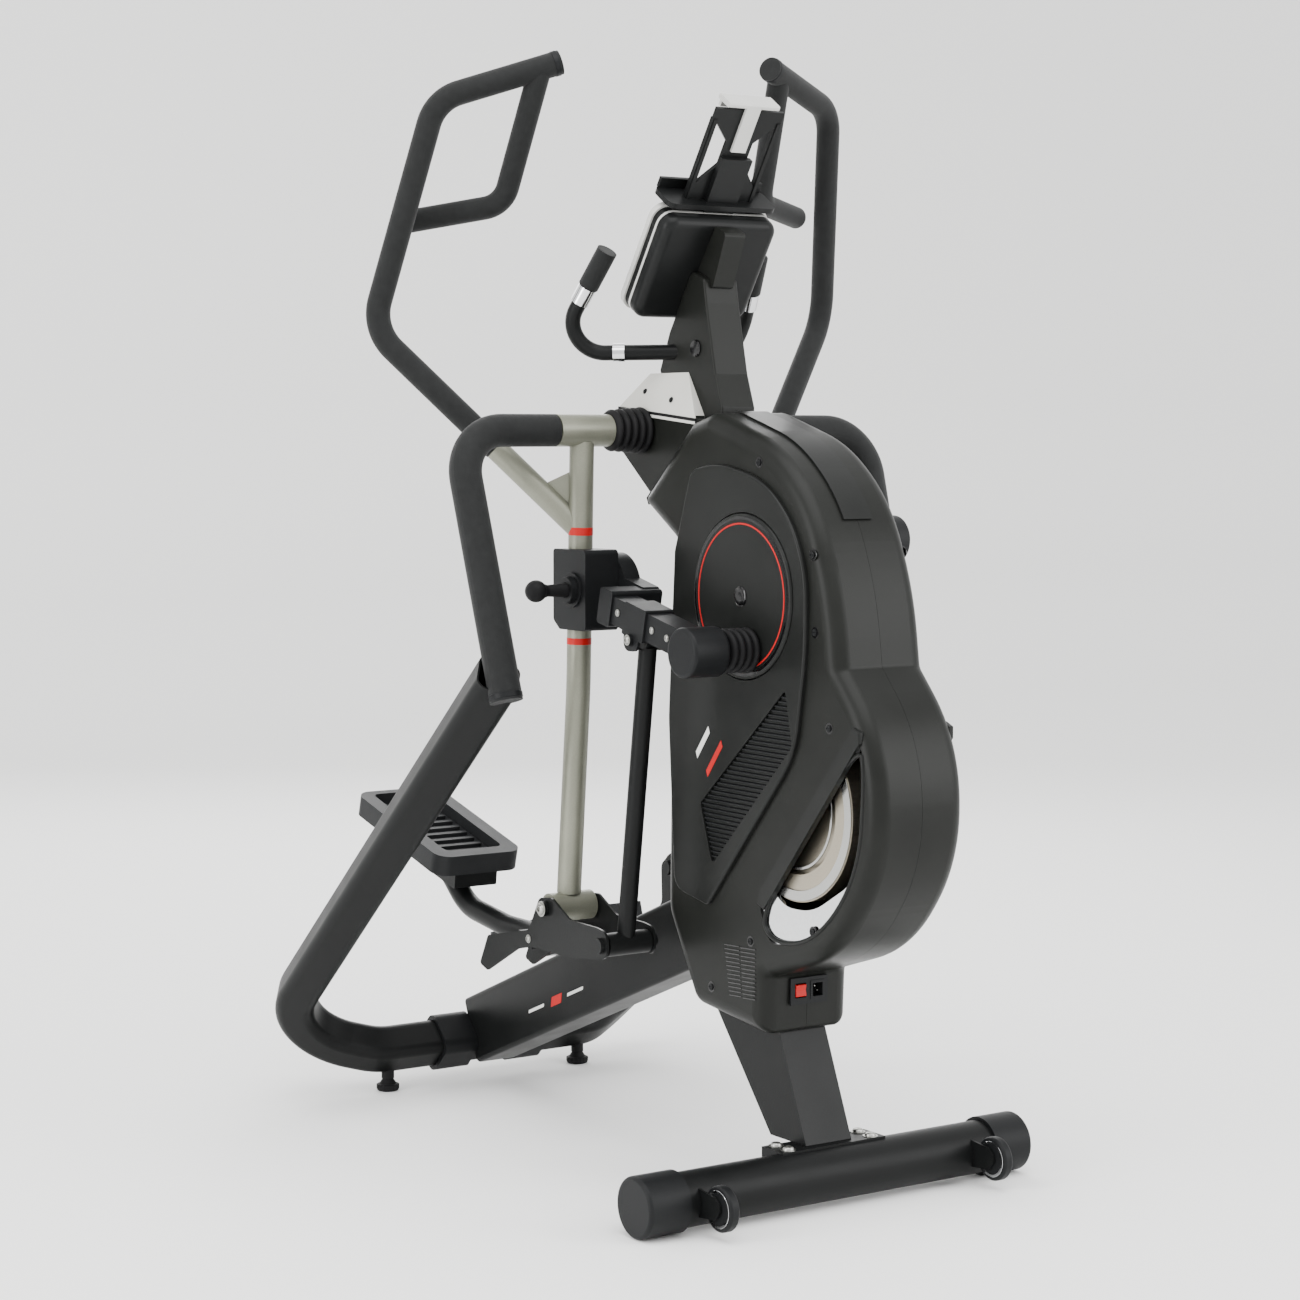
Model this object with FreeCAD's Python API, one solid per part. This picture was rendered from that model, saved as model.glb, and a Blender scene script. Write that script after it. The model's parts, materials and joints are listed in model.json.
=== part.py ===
"""Vertical climber with swinging arms, pedals, flywheel drive and console.

Frame: +Y points ahead of the user, towards the flywheel and the front stabilizer.
+X is the user's right, +Z is up. The origin is on the floor under the middle of the
machine. Lengths are millimetres. Side pieces are built once, for the right side at its
own resting pose, and the left side is their mirror image turned to the opposite
half of the crank's turn.
"""
import FreeCAD, Part
import math
import os

V = FreeCAD.Vector
X_AXIS = V(1, 0, 0)

# ---------------------------------------------------------------- driving dimensions
ORIGIN_Y = 75.3

STAB_Y = 545.0             # front stabilizer: round tube across the front
STAB_HALF = 352.0
STAB_R = 40.0
STAB_WALL = 3.0
CAP_R = 45.0
CAP_LEN = 70.0
WHEEL_R = 33.0
WHEEL_W = 16.0

AXLE_Y, AXLE_Z = 118.0, 1137.0      # top pivot axle of both swinging arms
AXLE_R = 12.0
BUSH_R = 16.0
TEE_IN, TEE_OUT = 116.0, 212.0      # the arm's hub on the axle
TEE_R = 25.0

CRANK_Y, CRANK_Z = 441.0, 894.0     # crank shaft
CRANK_R = 80.0                      # crank shaft to crank pin
CRANK_REST = -73.5                  # right crank pin's angle at rest, from +Y towards +Z
CRANK_SHAFT_R = 12.5
CRANK_PIN_R = 10.0
DISC_R = 122.0
DISC_OUT = 94.0

ARM_X = 163.0                       # plane of the swinging arm's tube
ARM_R = 19.0
BOX_Y, BOX_Z = 138.0, 893.0         # stride box pivot
TEE_LOW_Y, TEE_LOW_Z = 80.0, 393.0  # pedal arm pivot on the swinging arm
ROD_TOP_Y, ROD_TOP_Z = 302.0, 826.0
ROD_LOW_Y, ROD_LOW_Z = 239.0, 358.0
ROD_R = 14.0

COVER_HALF = 82.0                   # flywheel cover's half width
COVER_WALL = 3.0
PANEL_OUT = 90.0                    # outer face of the raised side panel
FLY_Y, FLY_Z = 545.0, 590.0         # flywheel shaft
FLY_R = 135.0
FLY_RIM = 40.0
HOUSING_Y, HOUSING_Z = 495.0, 606.0 # centre of the round flywheel housing
HOUSING_R = 253.0

RAIL_X = 372.0                      # fixed handrails
RAIL_STEEL_R = 19.0
RAIL_FOAM_R = 25.0
HANDLE_STEEL_R = 14.0
HANDLE_FOAM_R = 19.0
FRAME_TUBE_W, FRAME_TUBE_H = 66.0, 66.0
BEAM_HALF = 40.0
BEAM_H = 115.0
FOOT_X = 194.0
REAR_Y = -461.0                     # cross tube of the rear frame
GAP = 0.4                           # running clearance between moving pieces

# ---------------------------------------------------------------- shape helpers


def arc_path(points, radii):
    """Edges through the corner points, with each corner rounded by a tangent arc."""
    edges = []
    start = points[0]
    for i in range(1, len(points) - 1):
        corner = points[i]
        back = (points[i - 1] - corner).normalize()
        ahead = (points[i + 1] - corner).normalize()
        half = back.getAngle(ahead) / 2
        reach = radii[i - 1] / math.tan(half)
        first = corner + back * reach
        last = corner + ahead * reach
        middle_dir = (back + ahead).normalize()
        middle = corner + middle_dir * (radii[i - 1] / math.sin(half) - radii[i - 1])
        if (first - start).Length > 1e-6:
            edges.append(Part.LineSegment(start, first).toShape())
        edges.append(Part.Arc(first, middle, last).toShape())
        start = last
    edges.append(Part.LineSegment(start, points[-1]).toShape())
    return edges


def bent_rod(points, radii, r):
    """A round bar swept along a path of straight runs and tangent arcs."""
    path = Part.Wire(arc_path(points, radii))
    first = (points[1] - points[0]).normalize()
    ring = Part.Wire([Part.Circle(points[0], first, r).toShape()])
    return path.makePipeShell([ring], True, False)


def bent_tube(points, radii, r_out, r_in):
    return bent_rod(points, radii, r_out).cut(bent_rod(points, radii, r_in))


def outline_wire(corners, x):
    """Closed outline in the YZ plane. Each corner is (y, z, corner radius)."""
    count = len(corners)
    spots = [V(x, c[0], c[1]) for c in corners]
    edges = []
    ends = []
    for i in range(count):
        corner = spots[i]
        radius = corners[i][2]
        back = (spots[i - 1] - corner).normalize()
        ahead = (spots[(i + 1) % count] - corner).normalize()
        half = back.getAngle(ahead) / 2
        reach = radius / math.tan(half)
        bow = radius / math.sin(half) - radius
        first, last = corner + back * reach, corner + ahead * reach
        middle = corner + (back + ahead).normalize() * bow
        ends.append((first, middle, last))
    for i in range(count):
        first, middle, last = ends[i]
        if (last - first).Length > 1e-6:
            edges.append(Part.Arc(first, middle, last).toShape())
        following = ends[(i + 1) % count][0]
        if (following - last).Length > 1e-6:
            edges.append(Part.LineSegment(last, following).toShape())
    return Part.Wire(edges)


def prism(corners, x_low, x_high):
    """Flat plate: an outline in the YZ plane carried along X."""
    face = Part.Face(outline_wire(corners, x_low))
    return face.extrude(V(x_high - x_low, 0, 0))


def rod_x(y, z, r, x_low, x_high):
    return Part.makeCylinder(r, x_high - x_low, V(x_low, y, z), X_AXIS)


def ring_x(y, z, r_out, r_in, x_low, x_high):
    outer = rod_x(y, z, r_out, x_low, x_high)
    return outer.cut(rod_x(y, z, r_in, x_low - 1, x_high + 1))


def block(x_low, x_high, y_low, y_high, z_low, z_high):
    return Part.makeBox(x_high - x_low, y_high - y_low, z_high - z_low, V(x_low, y_low, z_low))


def slanted_bar(start, end, width, height, corner, wall=0.0):
    """Rounded rectangular bar between two points in a plane of constant X.

    width is along X and height is square to the bar; wall above 0 makes it a tube.
    """
    along = end - start
    length = along.Length
    shape = rounded_bar(width, height, corner, length)
    if wall > 0:
        inner = rounded_bar(width - 2 * wall, height - 2 * wall, max(corner - wall, 0.5), length + 2)
        inner.translate(V(0, -1, 0))
        shape = shape.cut(inner)
    angle = math.degrees(math.atan2(along.z, along.y))
    shape.rotate(V(0, 0, 0), X_AXIS, angle)
    shape.translate(start)
    return shape


def rounded_bar(width, height, corner, length):
    """Bar along +Y from the origin, centred on X and Z, with rounded long edges."""
    bar = block(-width / 2, width / 2, 0, length, -height / 2, height / 2)
    long_edges = [e for e in bar.Edges if abs(e.Length - length) < 1e-6 and is_along_y(e)]
    return bar.makeFillet(corner, long_edges)


def is_along_y(edge):
    a, b = edge.Vertexes[0].Point, edge.Vertexes[-1].Point
    return abs(a.x - b.x) < 1e-6 and abs(a.z - b.z) < 1e-6


def bolt_x(y, z, r, head_r, head_h, x_low, x_high):
    """Bolt along X whose heads stand on the two outer faces x_low and x_high."""
    bolt = rod_x(y, z, r, x_low, x_high)
    bolt = bolt.fuse(rod_x(y, z, head_r, x_high, x_high + head_h))
    return bolt.fuse(rod_x(y, z, head_r, x_low - head_h, x_low)).removeSplitter()


def mirror_x(shape):
    return shape.mirror(V(0, 0, 0), X_AXIS)


# ---------------------------------------------------------------- linkage


def rotate_yz(y, z, angle):
    c, s = math.cos(angle), math.sin(angle)
    return c * y - s * z, s * y + c * z


def circle_meet(first, r_first, second, r_second, side):
    """Where two circles in the YZ plane cross; side picks one of the two points."""
    dy, dz = second[0] - first[0], second[1] - first[1]
    distance = math.hypot(dy, dz)
    along = (r_first ** 2 - r_second ** 2 + distance ** 2) / (2 * distance)
    off = math.sqrt(r_first ** 2 - along ** 2)
    uy, uz = dy / distance, dz / distance
    return first[0] + along * uy - side * off * uz, first[1] + along * uz + side * off * uy


def angle_of(start, end):
    return math.atan2(end[1] - start[1], end[0] - start[0])


def turn_between(old_start, old_end, new_start, new_end):
    """Turn from one pointing to another, kept within half a turn either way."""
    turn = angle_of(new_start, new_end) - angle_of(old_start, old_end)
    return (turn + math.pi) % (2 * math.pi) - math.pi


AXLE = (AXLE_Y, AXLE_Z)
CRANK = (CRANK_Y, CRANK_Z)
BOX = (BOX_Y, BOX_Z)
TEE_LOW = (TEE_LOW_Y, TEE_LOW_Z)
ROD_TOP = (ROD_TOP_Y, ROD_TOP_Z)
ROD_LOW = (ROD_LOW_Y, ROD_LOW_Z)


def crank_pin(turn):
    angle = math.radians(CRANK_REST) + turn
    return CRANK_Y + CRANK_R * math.cos(angle), CRANK_Z + CRANK_R * math.sin(angle)


PIN = crank_pin(0.0)


def gap_between(a, b):
    return math.hypot(a[0] - b[0], a[1] - b[1])


def opposite_pose():
    """Places and turns of one side's links when its crank pin is half a turn on."""
    pin = crank_pin(math.pi)
    box = circle_meet(pin, gap_between(PIN, BOX), AXLE, gap_between(AXLE, BOX), 1)
    swing = turn_between(AXLE, BOX, AXLE, box)
    link = turn_between(BOX, PIN, box, pin)
    ty, tz = rotate_yz(TEE_LOW_Y - AXLE_Y, TEE_LOW_Z - AXLE_Z, swing)
    tee = (AXLE_Y + ty, AXLE_Z + tz)
    ky, kz = rotate_yz(ROD_TOP_Y - BOX_Y, ROD_TOP_Z - BOX_Z, link)
    top = (box[0] + ky, box[1] + kz)
    low = circle_meet(top, gap_between(ROD_TOP, ROD_LOW), tee, gap_between(TEE_LOW, ROD_LOW), 1)
    rod = turn_between(ROD_TOP, ROD_LOW, top, low)
    arm = turn_between(TEE_LOW, ROD_LOW, tee, low)
    return {"box": box, "tee": tee, "top": top, "low": low,
            "swing": swing, "link": link, "rod": rod, "arm": arm}


FAR = opposite_pose()


def to_left(shape, old, new, turn):
    """Mirror a right-side piece and carry it to the left side's own pose."""
    piece = mirror_x(shape)
    piece.rotate(V(0, old[0], old[1]), X_AXIS, math.degrees(turn))
    piece.translate(V(0, new[0] - old[0], new[1] - old[1]))
    return piece


# ---------------------------------------------------------------- base and frame


def front_stabilizer():
    """Round cross tube with a saddle plate on top and two wheel brackets in front."""
    tube = rod_x(STAB_Y, CAP_R, STAB_R, -STAB_HALF + CAP_LEN / 2, STAB_HALF - CAP_LEN / 2)
    saddle = block(-95, 95, STAB_Y - 46, STAB_Y + 6, CAP_R + STAB_R - 16, CAP_R + STAB_R + 3)
    shape = tube.fuse(saddle)
    for x in WHEEL_BRACKETS:
        ear = prism([(STAB_Y + 20, CAP_R + 24, 4), (WHEEL_Y, CAP_R + 18, 10),
                     (WHEEL_Y + 15, CAP_R + 4, 12), (WHEEL_Y, CAP_R - 14, 10),
                     (STAB_Y + 20, CAP_R - 20, 4)], x, x + 4)
        shape = shape.fuse(ear)
        shape = shape.fuse(rod_x(WHEEL_Y, CAP_R + 1, 6, x - WHEEL_W - 3, x + 4))
    bore = rod_x(STAB_Y, CAP_R, STAB_R - STAB_WALL, -STAB_HALF, STAB_HALF)
    return shape.cut(bore).removeSplitter()


WHEEL_BRACKETS = (260.0, -242.0)
WHEEL_Y = STAB_Y + STAB_R + WHEEL_R + 1.5


def transport_wheel(bracket_x):
    high = bracket_x - 1.0
    low = high - WHEEL_W
    wheel = rod_x(WHEEL_Y, CAP_R + 1, WHEEL_R, low, high)
    wheel = wheel.makeFillet(4, [e for e in wheel.Edges if e.Curve.TypeId == "Part::GeomCircle"])
    return wheel.cut(rod_x(WHEEL_Y, CAP_R + 1, 6 + 0.1, low - 1, high + 1))


def stabilizer_caps():
    """Moulded end caps that slip over the tube and stand on the floor."""
    tip = STAB_HALF
    cap = rod_x(STAB_Y, CAP_R, CAP_R, tip - CAP_LEN, tip)
    rim = [e for e in cap.Edges if e.Curve.TypeId == "Part::GeomCircle" and e.CenterOfMass.x > tip - 1]
    cap = cap.makeFillet(6, rim)
    cap = cap.cut(rod_x(STAB_Y, CAP_R, STAB_R, tip - CAP_LEN - 1, tip - CAP_LEN / 2))
    return Part.makeCompound([cap, mirror_x(cap)])


def post_corners(margin):
    """Side outline of the front post, grown by a margin all round."""
    m = margin
    return [(STAB_Y - 96 - m, POST_FOOT, 0.5), (STAB_Y - 8 + m, POST_FOOT, 0.5),
            (STAB_Y - 128 + m, POST_FOOT + 290 + m, 4), (STAB_Y - 290 - m, POST_FOOT + 235 + m, 4)]


POST_FOOT = CAP_R + STAB_R + 3


def front_post():
    """Tapered box post leaning back from the saddle plate up into the cover."""
    return prism(post_corners(0), -42, 42).cut(prism(post_corners(-5), -38, 38))


def base_bolts():
    """Four domed bolts through the saddle plate."""
    top = CAP_R + STAB_R + 3
    bolts = []
    for x in (-76, 76):
        for y in (STAB_Y - 36, STAB_Y - 6):
            dome = Part.makeSphere(9, V(x, y, top - 3)).common(block(x - 9, x + 9, y - 9, y + 9, top, top + 9))
            shank = Part.makeCylinder(4, 10, V(x, y, top - 8))
            bolts.append(dome.fuse(shank).removeSplitter())
    return Part.makeCompound(bolts)


BEAM_ANGLE = 22.3
BEAM_REAR = V(0, -440.0, 90.0)
BEAM_FRONT = V(0, 262.0, 90.0 + 702.0 * math.tan(math.radians(BEAM_ANGLE)))


def main_beam():
    """Straight rectangular tube that climbs from the rear frame to the cover."""
    return slanted_bar(BEAM_REAR, BEAM_FRONT, 2 * BEAM_HALF, BEAM_H, 8, 3)


def rear_sleeve():
    """Moulded clamp block that wraps the cross tube where the beam meets it."""
    grown = rear_frame_bar(FRAME_TUBE_W + 14, FRAME_TUBE_H + 14, 20)
    core = rear_frame_bar(FRAME_TUBE_W + 0.6, FRAME_TUBE_H + 0.6, 16)
    span = block(-105, 105, REAR_Y - 80, REAR_Y + 80, REAR_Z - 80, REAR_Z + 80)
    cut_beam = slanted_bar(BEAM_REAR - V(0, 60, 25), BEAM_FRONT, 2 * BEAM_HALF + 1, BEAM_H + 1, 8)
    sleeve = grown.common(span).cut(core).cut(cut_beam)
    return Part.makeCompound([piece for piece in sleeve.Solids if piece.Volume > 3000])


REAR_Z = 72.0
REAR_ENDS = V(215.0, REAR_Y, REAR_Z)           # where the cross tube starts to sweep back and up
REAR_CORNER = V(371.0, -543.0, 112.0)
UPRIGHT_TOP = V(371.0, 214.0, 774.0)


def rear_frame_bar(width, height, corner):
    """Solid bar along the rear frame: across the back, then both ends bend up and forward."""
    right = [REAR_ENDS, REAR_CORNER, UPRIGHT_TOP]
    left = [V(-p.x, p.y, p.z) for p in reversed(right)]
    points = left + right
    path = Part.Wire(arc_path(points, [110, 90, 90, 110]))
    return path.makePipeShell([path_profile(points, width, height, corner)], True, False)


def rear_frame_tube():
    """The rear frame's tube, notched for the handrails and the feet's stems."""
    tube = rear_frame_bar(FRAME_TUBE_W, FRAME_TUBE_H, 16)
    tube = tube.cut(rear_frame_bar(FRAME_TUBE_W - 6, FRAME_TUBE_H - 6, 13))
    rail = bent_rod(rail_path(0), [75], RAIL_FOAM_R)
    tube = tube.cut(rail).cut(mirror_x(rail))
    for x in (FOOT_X, -FOOT_X):
        tube = tube.cut(Part.makeCylinder(11 + GAP, REAR_Z - FRAME_TUBE_H / 2, V(x, REAR_Y, 0)))
    return tube




def path_profile(points, width, height, corner):
    """Rounded rectangle square to the first run of a path, standing at its start."""
    along = (points[1] - points[0]).normalize()
    normal = (points[1] - points[0]).cross(points[2] - points[1]).normalize()
    side = normal.cross(along).normalize()
    spots = []
    for a, b in ((1, 1), (-1, 1), (-1, -1), (1, -1)):
        spots.append(points[0] + side * (a * width / 2) + normal * (b * height / 2))
    edges = []
    for i in range(4):
        corner_spot = spots[i]
        back = (spots[i - 1] - corner_spot).normalize()
        ahead = (spots[(i + 1) % 4] - corner_spot).normalize()
        first, last = corner_spot + back * corner, corner_spot + ahead * corner
        middle = corner_spot + (back + ahead).normalize() * (corner * (math.sqrt(2) - 1))
        edges.append(Part.Arc(first, middle, last).toShape())
        following = spots[(i + 1) % 4] + (corner_spot - spots[(i + 1) % 4]).normalize() * corner
        edges.append(Part.LineSegment(last, following).toShape())
    return Part.Wire(edges)


def levelling_foot(x):
    """Screw foot: rubber-faced knob under the cross tube, on a threaded stem."""
    under = REAR_Z - FRAME_TUBE_H / 2
    pad = Part.makeCylinder(19, 12, V(x, REAR_Y, 0))
    pad = pad.makeFillet(3, [e for e in pad.Edges if e.Curve.TypeId == "Part::GeomCircle"])
    neck = Part.makeCone(15, 9, 9, V(x, REAR_Y, 12))
    nut = Part.makeCylinder(11, under - GAP - 21, V(x, REAR_Y, 21))
    return pad.fuse(neck).fuse(nut).removeSplitter()


RAIL_BEND = V(RAIL_X + 12, AXLE_Y, AXLE_Z)
RAIL_END = V(RAIL_X, 238.0, 738.0)


def rail_path(inset):
    """Handrail line from the axle's end, out, then down and a little forward."""
    down = (RAIL_END - RAIL_BEND).normalize()
    return [V(TEE_OUT + 2 + inset, AXLE_Y, AXLE_Z), RAIL_BEND, RAIL_END - down * inset]


def handrails():
    """Steel tube of each fixed handrail, open at the axle end."""
    tube = bent_tube(rail_path(4), [75], RAIL_STEEL_R - GAP / 2, RAIL_STEEL_R - 3)
    return Part.makeCompound([tube, mirror_x(tube)])


def handrail_foam():
    """Foam cover over each handrail, closed at its lower end by a plug."""
    solid = bent_rod(rail_path(0), [75], RAIL_FOAM_R)
    core = bent_rod(rail_path(4), [75], RAIL_STEEL_R)
    foam = solid.cut(core)
    stem = rod_x(AXLE_Y, AXLE_Z, AXLE_R, TEE_OUT, TEE_OUT + 8)
    foam = foam.cut(stem)
    return Part.makeCompound([foam, mirror_x(foam)])


MAST_LOW = V(0, 257.0, 425.0)
MAST_TOP = V(0, 316.0, 1118.0)


def mast():
    """Hidden centre mast, with the pivot axle of the two arms through its head."""
    column = slanted_bar(MAST_LOW, MAST_TOP, 60, 50, 6, 3)
    head = slanted_bar(V(0, 322, 1100), V(0, AXLE_Y - 22, AXLE_Z), 60, 44, 5)
    axle = rod_x(AXLE_Y, AXLE_Z, AXLE_R, -TEE_OUT - 5, TEE_OUT + 5)
    shape = column.fuse(head).fuse(axle)
    for x_low, x_high in ((30, 76), (-76, -30)):
        shape = shape.fuse(rod_x(CRANK_Y, CRANK_Z, 26, x_low, x_high))
        plate_low, plate_high = (30, 35) if x_low > 0 else (-35, -30)
        plate = prism([(272, 1010, 4), (258, 560, 4), (CRANK_Y + 30, CRANK_Z - 36, 20),
                       (CRANK_Y + 34, CRANK_Z + 36, 20)], plate_low, plate_high)
        shape = shape.fuse(plate)
        stay = slanted_bar(V((plate_low + plate_high) / 2, 250, 600), V((plate_low + plate_high) / 2, FLY_Y, FLY_Z),
                           5, 44, 2)
        shape = shape.fuse(stay).fuse(rod_x(FLY_Y, FLY_Z, 22, plate_low, plate_high))
    for y, z, r in ((CRANK_Y, CRANK_Z, 20), (FLY_Y, FLY_Z, 14)):
        shape = shape.cut(rod_x(y, z, r, -80, 80))
    gap = rod_x(CRANK_Y, CRANK_Z, 27, -29, 29)
    return shape.cut(gap).removeSplitter()


def bearings():
    """Ball bearings of the crank and flywheel shafts, and the arms' plain bushes."""
    bush = ring_x(AXLE_Y, AXLE_Z, BUSH_R, AXLE_R, TEE_IN + 1, TEE_OUT - 1)
    rings = [bush, mirror_x(bush)]
    for x_low, x_high in ((58, 74), (-74, -58)):
        rings.append(ring_x(CRANK_Y, CRANK_Z, 20, CRANK_SHAFT_R + 0.05, x_low, x_high))
    for x_low, x_high in ((29, 36), (-36, -29)):
        rings.append(ring_x(FLY_Y, FLY_Z, 14, FLY_SHAFT_R + 0.05, x_low, x_high))
    return Part.makeCompound(rings)


# ---------------------------------------------------------------- crank and flywheel
FLY_SHAFT_R = 8.0
PULLEY_R = 105.0
FLY_PULLEY_R = 21.0
BELT_T = 3.0
PULLEY_X = (-12.0, 12.0)
FLYWHEEL_X = (38.0, 70.0)


def crank_axle():
    """Crank shaft with an arm and a crank pin at each end, half a turn apart."""
    shape = rod_x(CRANK_Y, CRANK_Z, CRANK_SHAFT_R, -82, 82)
    for side, turn in ((1, 0.0), (-1, math.pi)):
        py, pz = crank_pin(turn)
        arm_low, arm_high = (77, 83) if side > 0 else (-83, -77)
        arm = slanted_bar(V((arm_low + arm_high) / 2, CRANK_Y, CRANK_Z), V((arm_low + arm_high) / 2, py, pz),
                          6, 34, 2.5)
        ends = rod_x(CRANK_Y, CRANK_Z, 24, arm_low, arm_high).fuse(rod_x(py, pz, 18, arm_low, arm_high))
        pin_low, pin_high = (80, 146) if side > 0 else (-146, -80)
        shape = shape.fuse(arm).fuse(ends).fuse(rod_x(py, pz, CRANK_PIN_R, pin_low, pin_high))
    return shape.removeSplitter()


def crank_discs():
    """Round cover disc on each crank arm, flush in the side panel's round opening."""
    discs = []
    for side, turn in ((1, 0.0), (-1, math.pi)):
        py, pz = crank_pin(turn)
        disc = rod_x(CRANK_Y, CRANK_Z, DISC_R, 83.5, DISC_OUT)
        rim = [e for e in disc.Edges if e.Curve.TypeId == "Part::GeomCircle" and e.CenterOfMass.x > DISC_OUT - 1]
        disc = disc.makeFillet(5, rim)
        if side < 0:
            disc = mirror_x(disc)
        x_low, x_high = (83, DISC_OUT + 1) if side > 0 else (-DISC_OUT - 1, -83)
        discs.append(disc.cut(rod_x(py, pz, CRANK_PIN_R, x_low, x_high)))
    return Part.makeCompound(discs)


def crank_pin_boots():
    """Ribbed round boot over each crank pin."""
    boots = []
    for side, turn in ((1, 0.0), (-1, math.pi)):
        py, pz = crank_pin(turn)
        boot = rod_x(py, pz, 41, DISC_OUT, 148)
        for x in (104, 114, 124, 134):
            boot = boot.fuse(rod_x(py, pz, 45, x, x + 5))
        boot = boot.cut(rod_x(py, pz, CRANK_PIN_R, DISC_OUT - 1, 146))
        boots.append(boot if side > 0 else mirror_x(boot))
    return Part.makeCompound(boots)


def crank_pulley():
    """Large belt pulley on the crank shaft, with lightening holes."""
    wheel = rod_x(CRANK_Y, CRANK_Z, PULLEY_R, *PULLEY_X)
    wheel = wheel.fuse(rod_x(CRANK_Y, CRANK_Z, 24, PULLEY_X[0] - 8, PULLEY_X[1] + 8))
    wheel = wheel.cut(rod_x(CRANK_Y, CRANK_Z, CRANK_SHAFT_R, -40, 40))
    for i in range(6):
        dy, dz = rotate_yz(62, 0, math.radians(60 * i))
        wheel = wheel.cut(rod_x(CRANK_Y + dy, CRANK_Z + dz, 19, -40, 40))
    return wheel


def belt_outline(offset):
    """Belt line round both pulleys: two arcs and the two outer tangents."""
    dy, dz = FLY_Y - CRANK_Y, FLY_Z - CRANK_Z
    span = math.hypot(dy, dz)
    lean = math.atan2(dz, dy)
    spread = math.acos((PULLEY_R - FLY_PULLEY_R) / span)
    r_big, r_small = PULLEY_R + offset, FLY_PULLEY_R + offset
    big = [(CRANK_Y + r_big * math.cos(lean + a), CRANK_Z + r_big * math.sin(lean + a))
           for a in (spread, math.pi, -spread)]
    small = [(FLY_Y + r_small * math.cos(lean + a), FLY_Z + r_small * math.sin(lean + a))
             for a in (-spread, 0.0, spread)]
    x = -9.0
    b = [V(x, *p) for p in big]
    s = [V(x, *p) for p in small]
    return Part.Wire([Part.Arc(b[0], b[1], b[2]).toShape(), Part.LineSegment(b[2], s[0]).toShape(),
                      Part.Arc(s[0], s[1], s[2]).toShape(), Part.LineSegment(s[2], b[0]).toShape()])


def drive_belt():
    """Ribbed belt that runs round the two pulleys."""
    outer = Part.Face(belt_outline(GAP + BELT_T)).extrude(V(18, 0, 0))
    return outer.cut(Part.Face(belt_outline(GAP)).extrude(V(18, 0, 0)))


def flywheel():
    """Heavy disc with a thick rim, its shaft and small belt pulley in one piece."""
    x_low, x_high = FLYWHEEL_X
    wheel = rod_x(FLY_Y, FLY_Z, FLY_R, x_low, x_high)
    wheel = wheel.cut(ring_x(FLY_Y, FLY_Z, FLY_R - FLY_RIM, 26, x_high - 10, x_high + 1))
    wheel = wheel.cut(ring_x(FLY_Y, FLY_Z, FLY_R - FLY_RIM, 26, x_low - 1, x_low + 8))
    shaft = rod_x(FLY_Y, FLY_Z, FLY_SHAFT_R, -40, x_high + 4)
    pulley = rod_x(FLY_Y, FLY_Z, FLY_PULLEY_R, *PULLEY_X)
    return wheel.fuse(shaft).fuse(pulley).removeSplitter()


BRAKE_PIVOT = (FLY_Y - 150.0, FLY_Z - 128.0)


def brake_arm():
    """Magnet carrier: a curved shoe over the flywheel's rim on a pivoting arm."""
    shoe = ring_x(FLY_Y, FLY_Z, FLY_R + 22, FLY_R + 6, 42, 66)
    wedge = prism([(FLY_Y, FLY_Z, 0.5), (FLY_Y - 260, FLY_Z - 60, 0.5), (FLY_Y - 150, FLY_Z - 260, 0.5)], 40, 68)
    shoe = shoe.common(wedge)
    lug = rod_x(BRAKE_PIVOT[0], BRAKE_PIVOT[1], 14, 42, 60)
    web = prism([(BRAKE_PIVOT[0] - 12, BRAKE_PIVOT[1] + 10, 3), (BRAKE_PIVOT[0] - 2, BRAKE_PIVOT[1] - 14, 3),
                 (FLY_Y - 98, FLY_Z - 112, 3), (FLY_Y - 122, FLY_Z - 86, 3)], 44, 58)
    arm = shoe.fuse(lug).fuse(web)
    return arm.cut(rod_x(BRAKE_PIVOT[0], BRAKE_PIVOT[1], 5 + 0.05, 30, 80)).removeSplitter()


def brake_mount():
    """Bracket from the mast that carries the brake arm's pin."""
    plate = prism([(262, 500, 3), (262, 420, 3), (BRAKE_PIVOT[0] + 12, BRAKE_PIVOT[1] - 14, 10),
                   (BRAKE_PIVOT[0] + 12, BRAKE_PIVOT[1] + 12, 10)], 30.2, 35)
    return plate.fuse(rod_x(BRAKE_PIVOT[0], BRAKE_PIVOT[1], 5, 35, 66)).removeSplitter()


# ---------------------------------------------------------------- covers
def hood_corners(inset):
    """Outline of the cover halves: hood above, round housing in front, box below."""
    i = inset
    return [(252 + 1.06 * i, 965 + 0.5 * i, 25), (152 + 1.6 * i, 1029 + 0.1 * i, 6),
            (286 + 0.5 * i, 1150 - 0.9 * i, 8), (338, 1164 - i, 25),
            (492 - 0.4 * i, 1118 - 0.9 * i, 262), (588 - 0.8 * i, 1036 - 0.6 * i, 262),
            (642 - i, 905 - 0.2 * i, 480), (656 - i, 800 + 0.3 * i, 12), *round_housing(i),
            (484 - 0.8 * i, 334 + i, 12), (480 - i, 246 + i, 8), (300 + i, 266 + i, 30), (224 + i, 400, 60),
            (228 + i, 720, 300)]


def round_housing(inset):
    """Corners of the flywheel housing's outline, so that their fillets join into one circle's arc."""
    r = HOUSING_R - inset
    reach = r / math.cos(math.radians(19))
    corners = []
    for turn in (21, -17, -55):
        a = math.radians(turn)
        corners.append((HOUSING_Y + reach * math.cos(a), HOUSING_Z + reach * math.sin(a), r * 0.94))
    return corners


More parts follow.
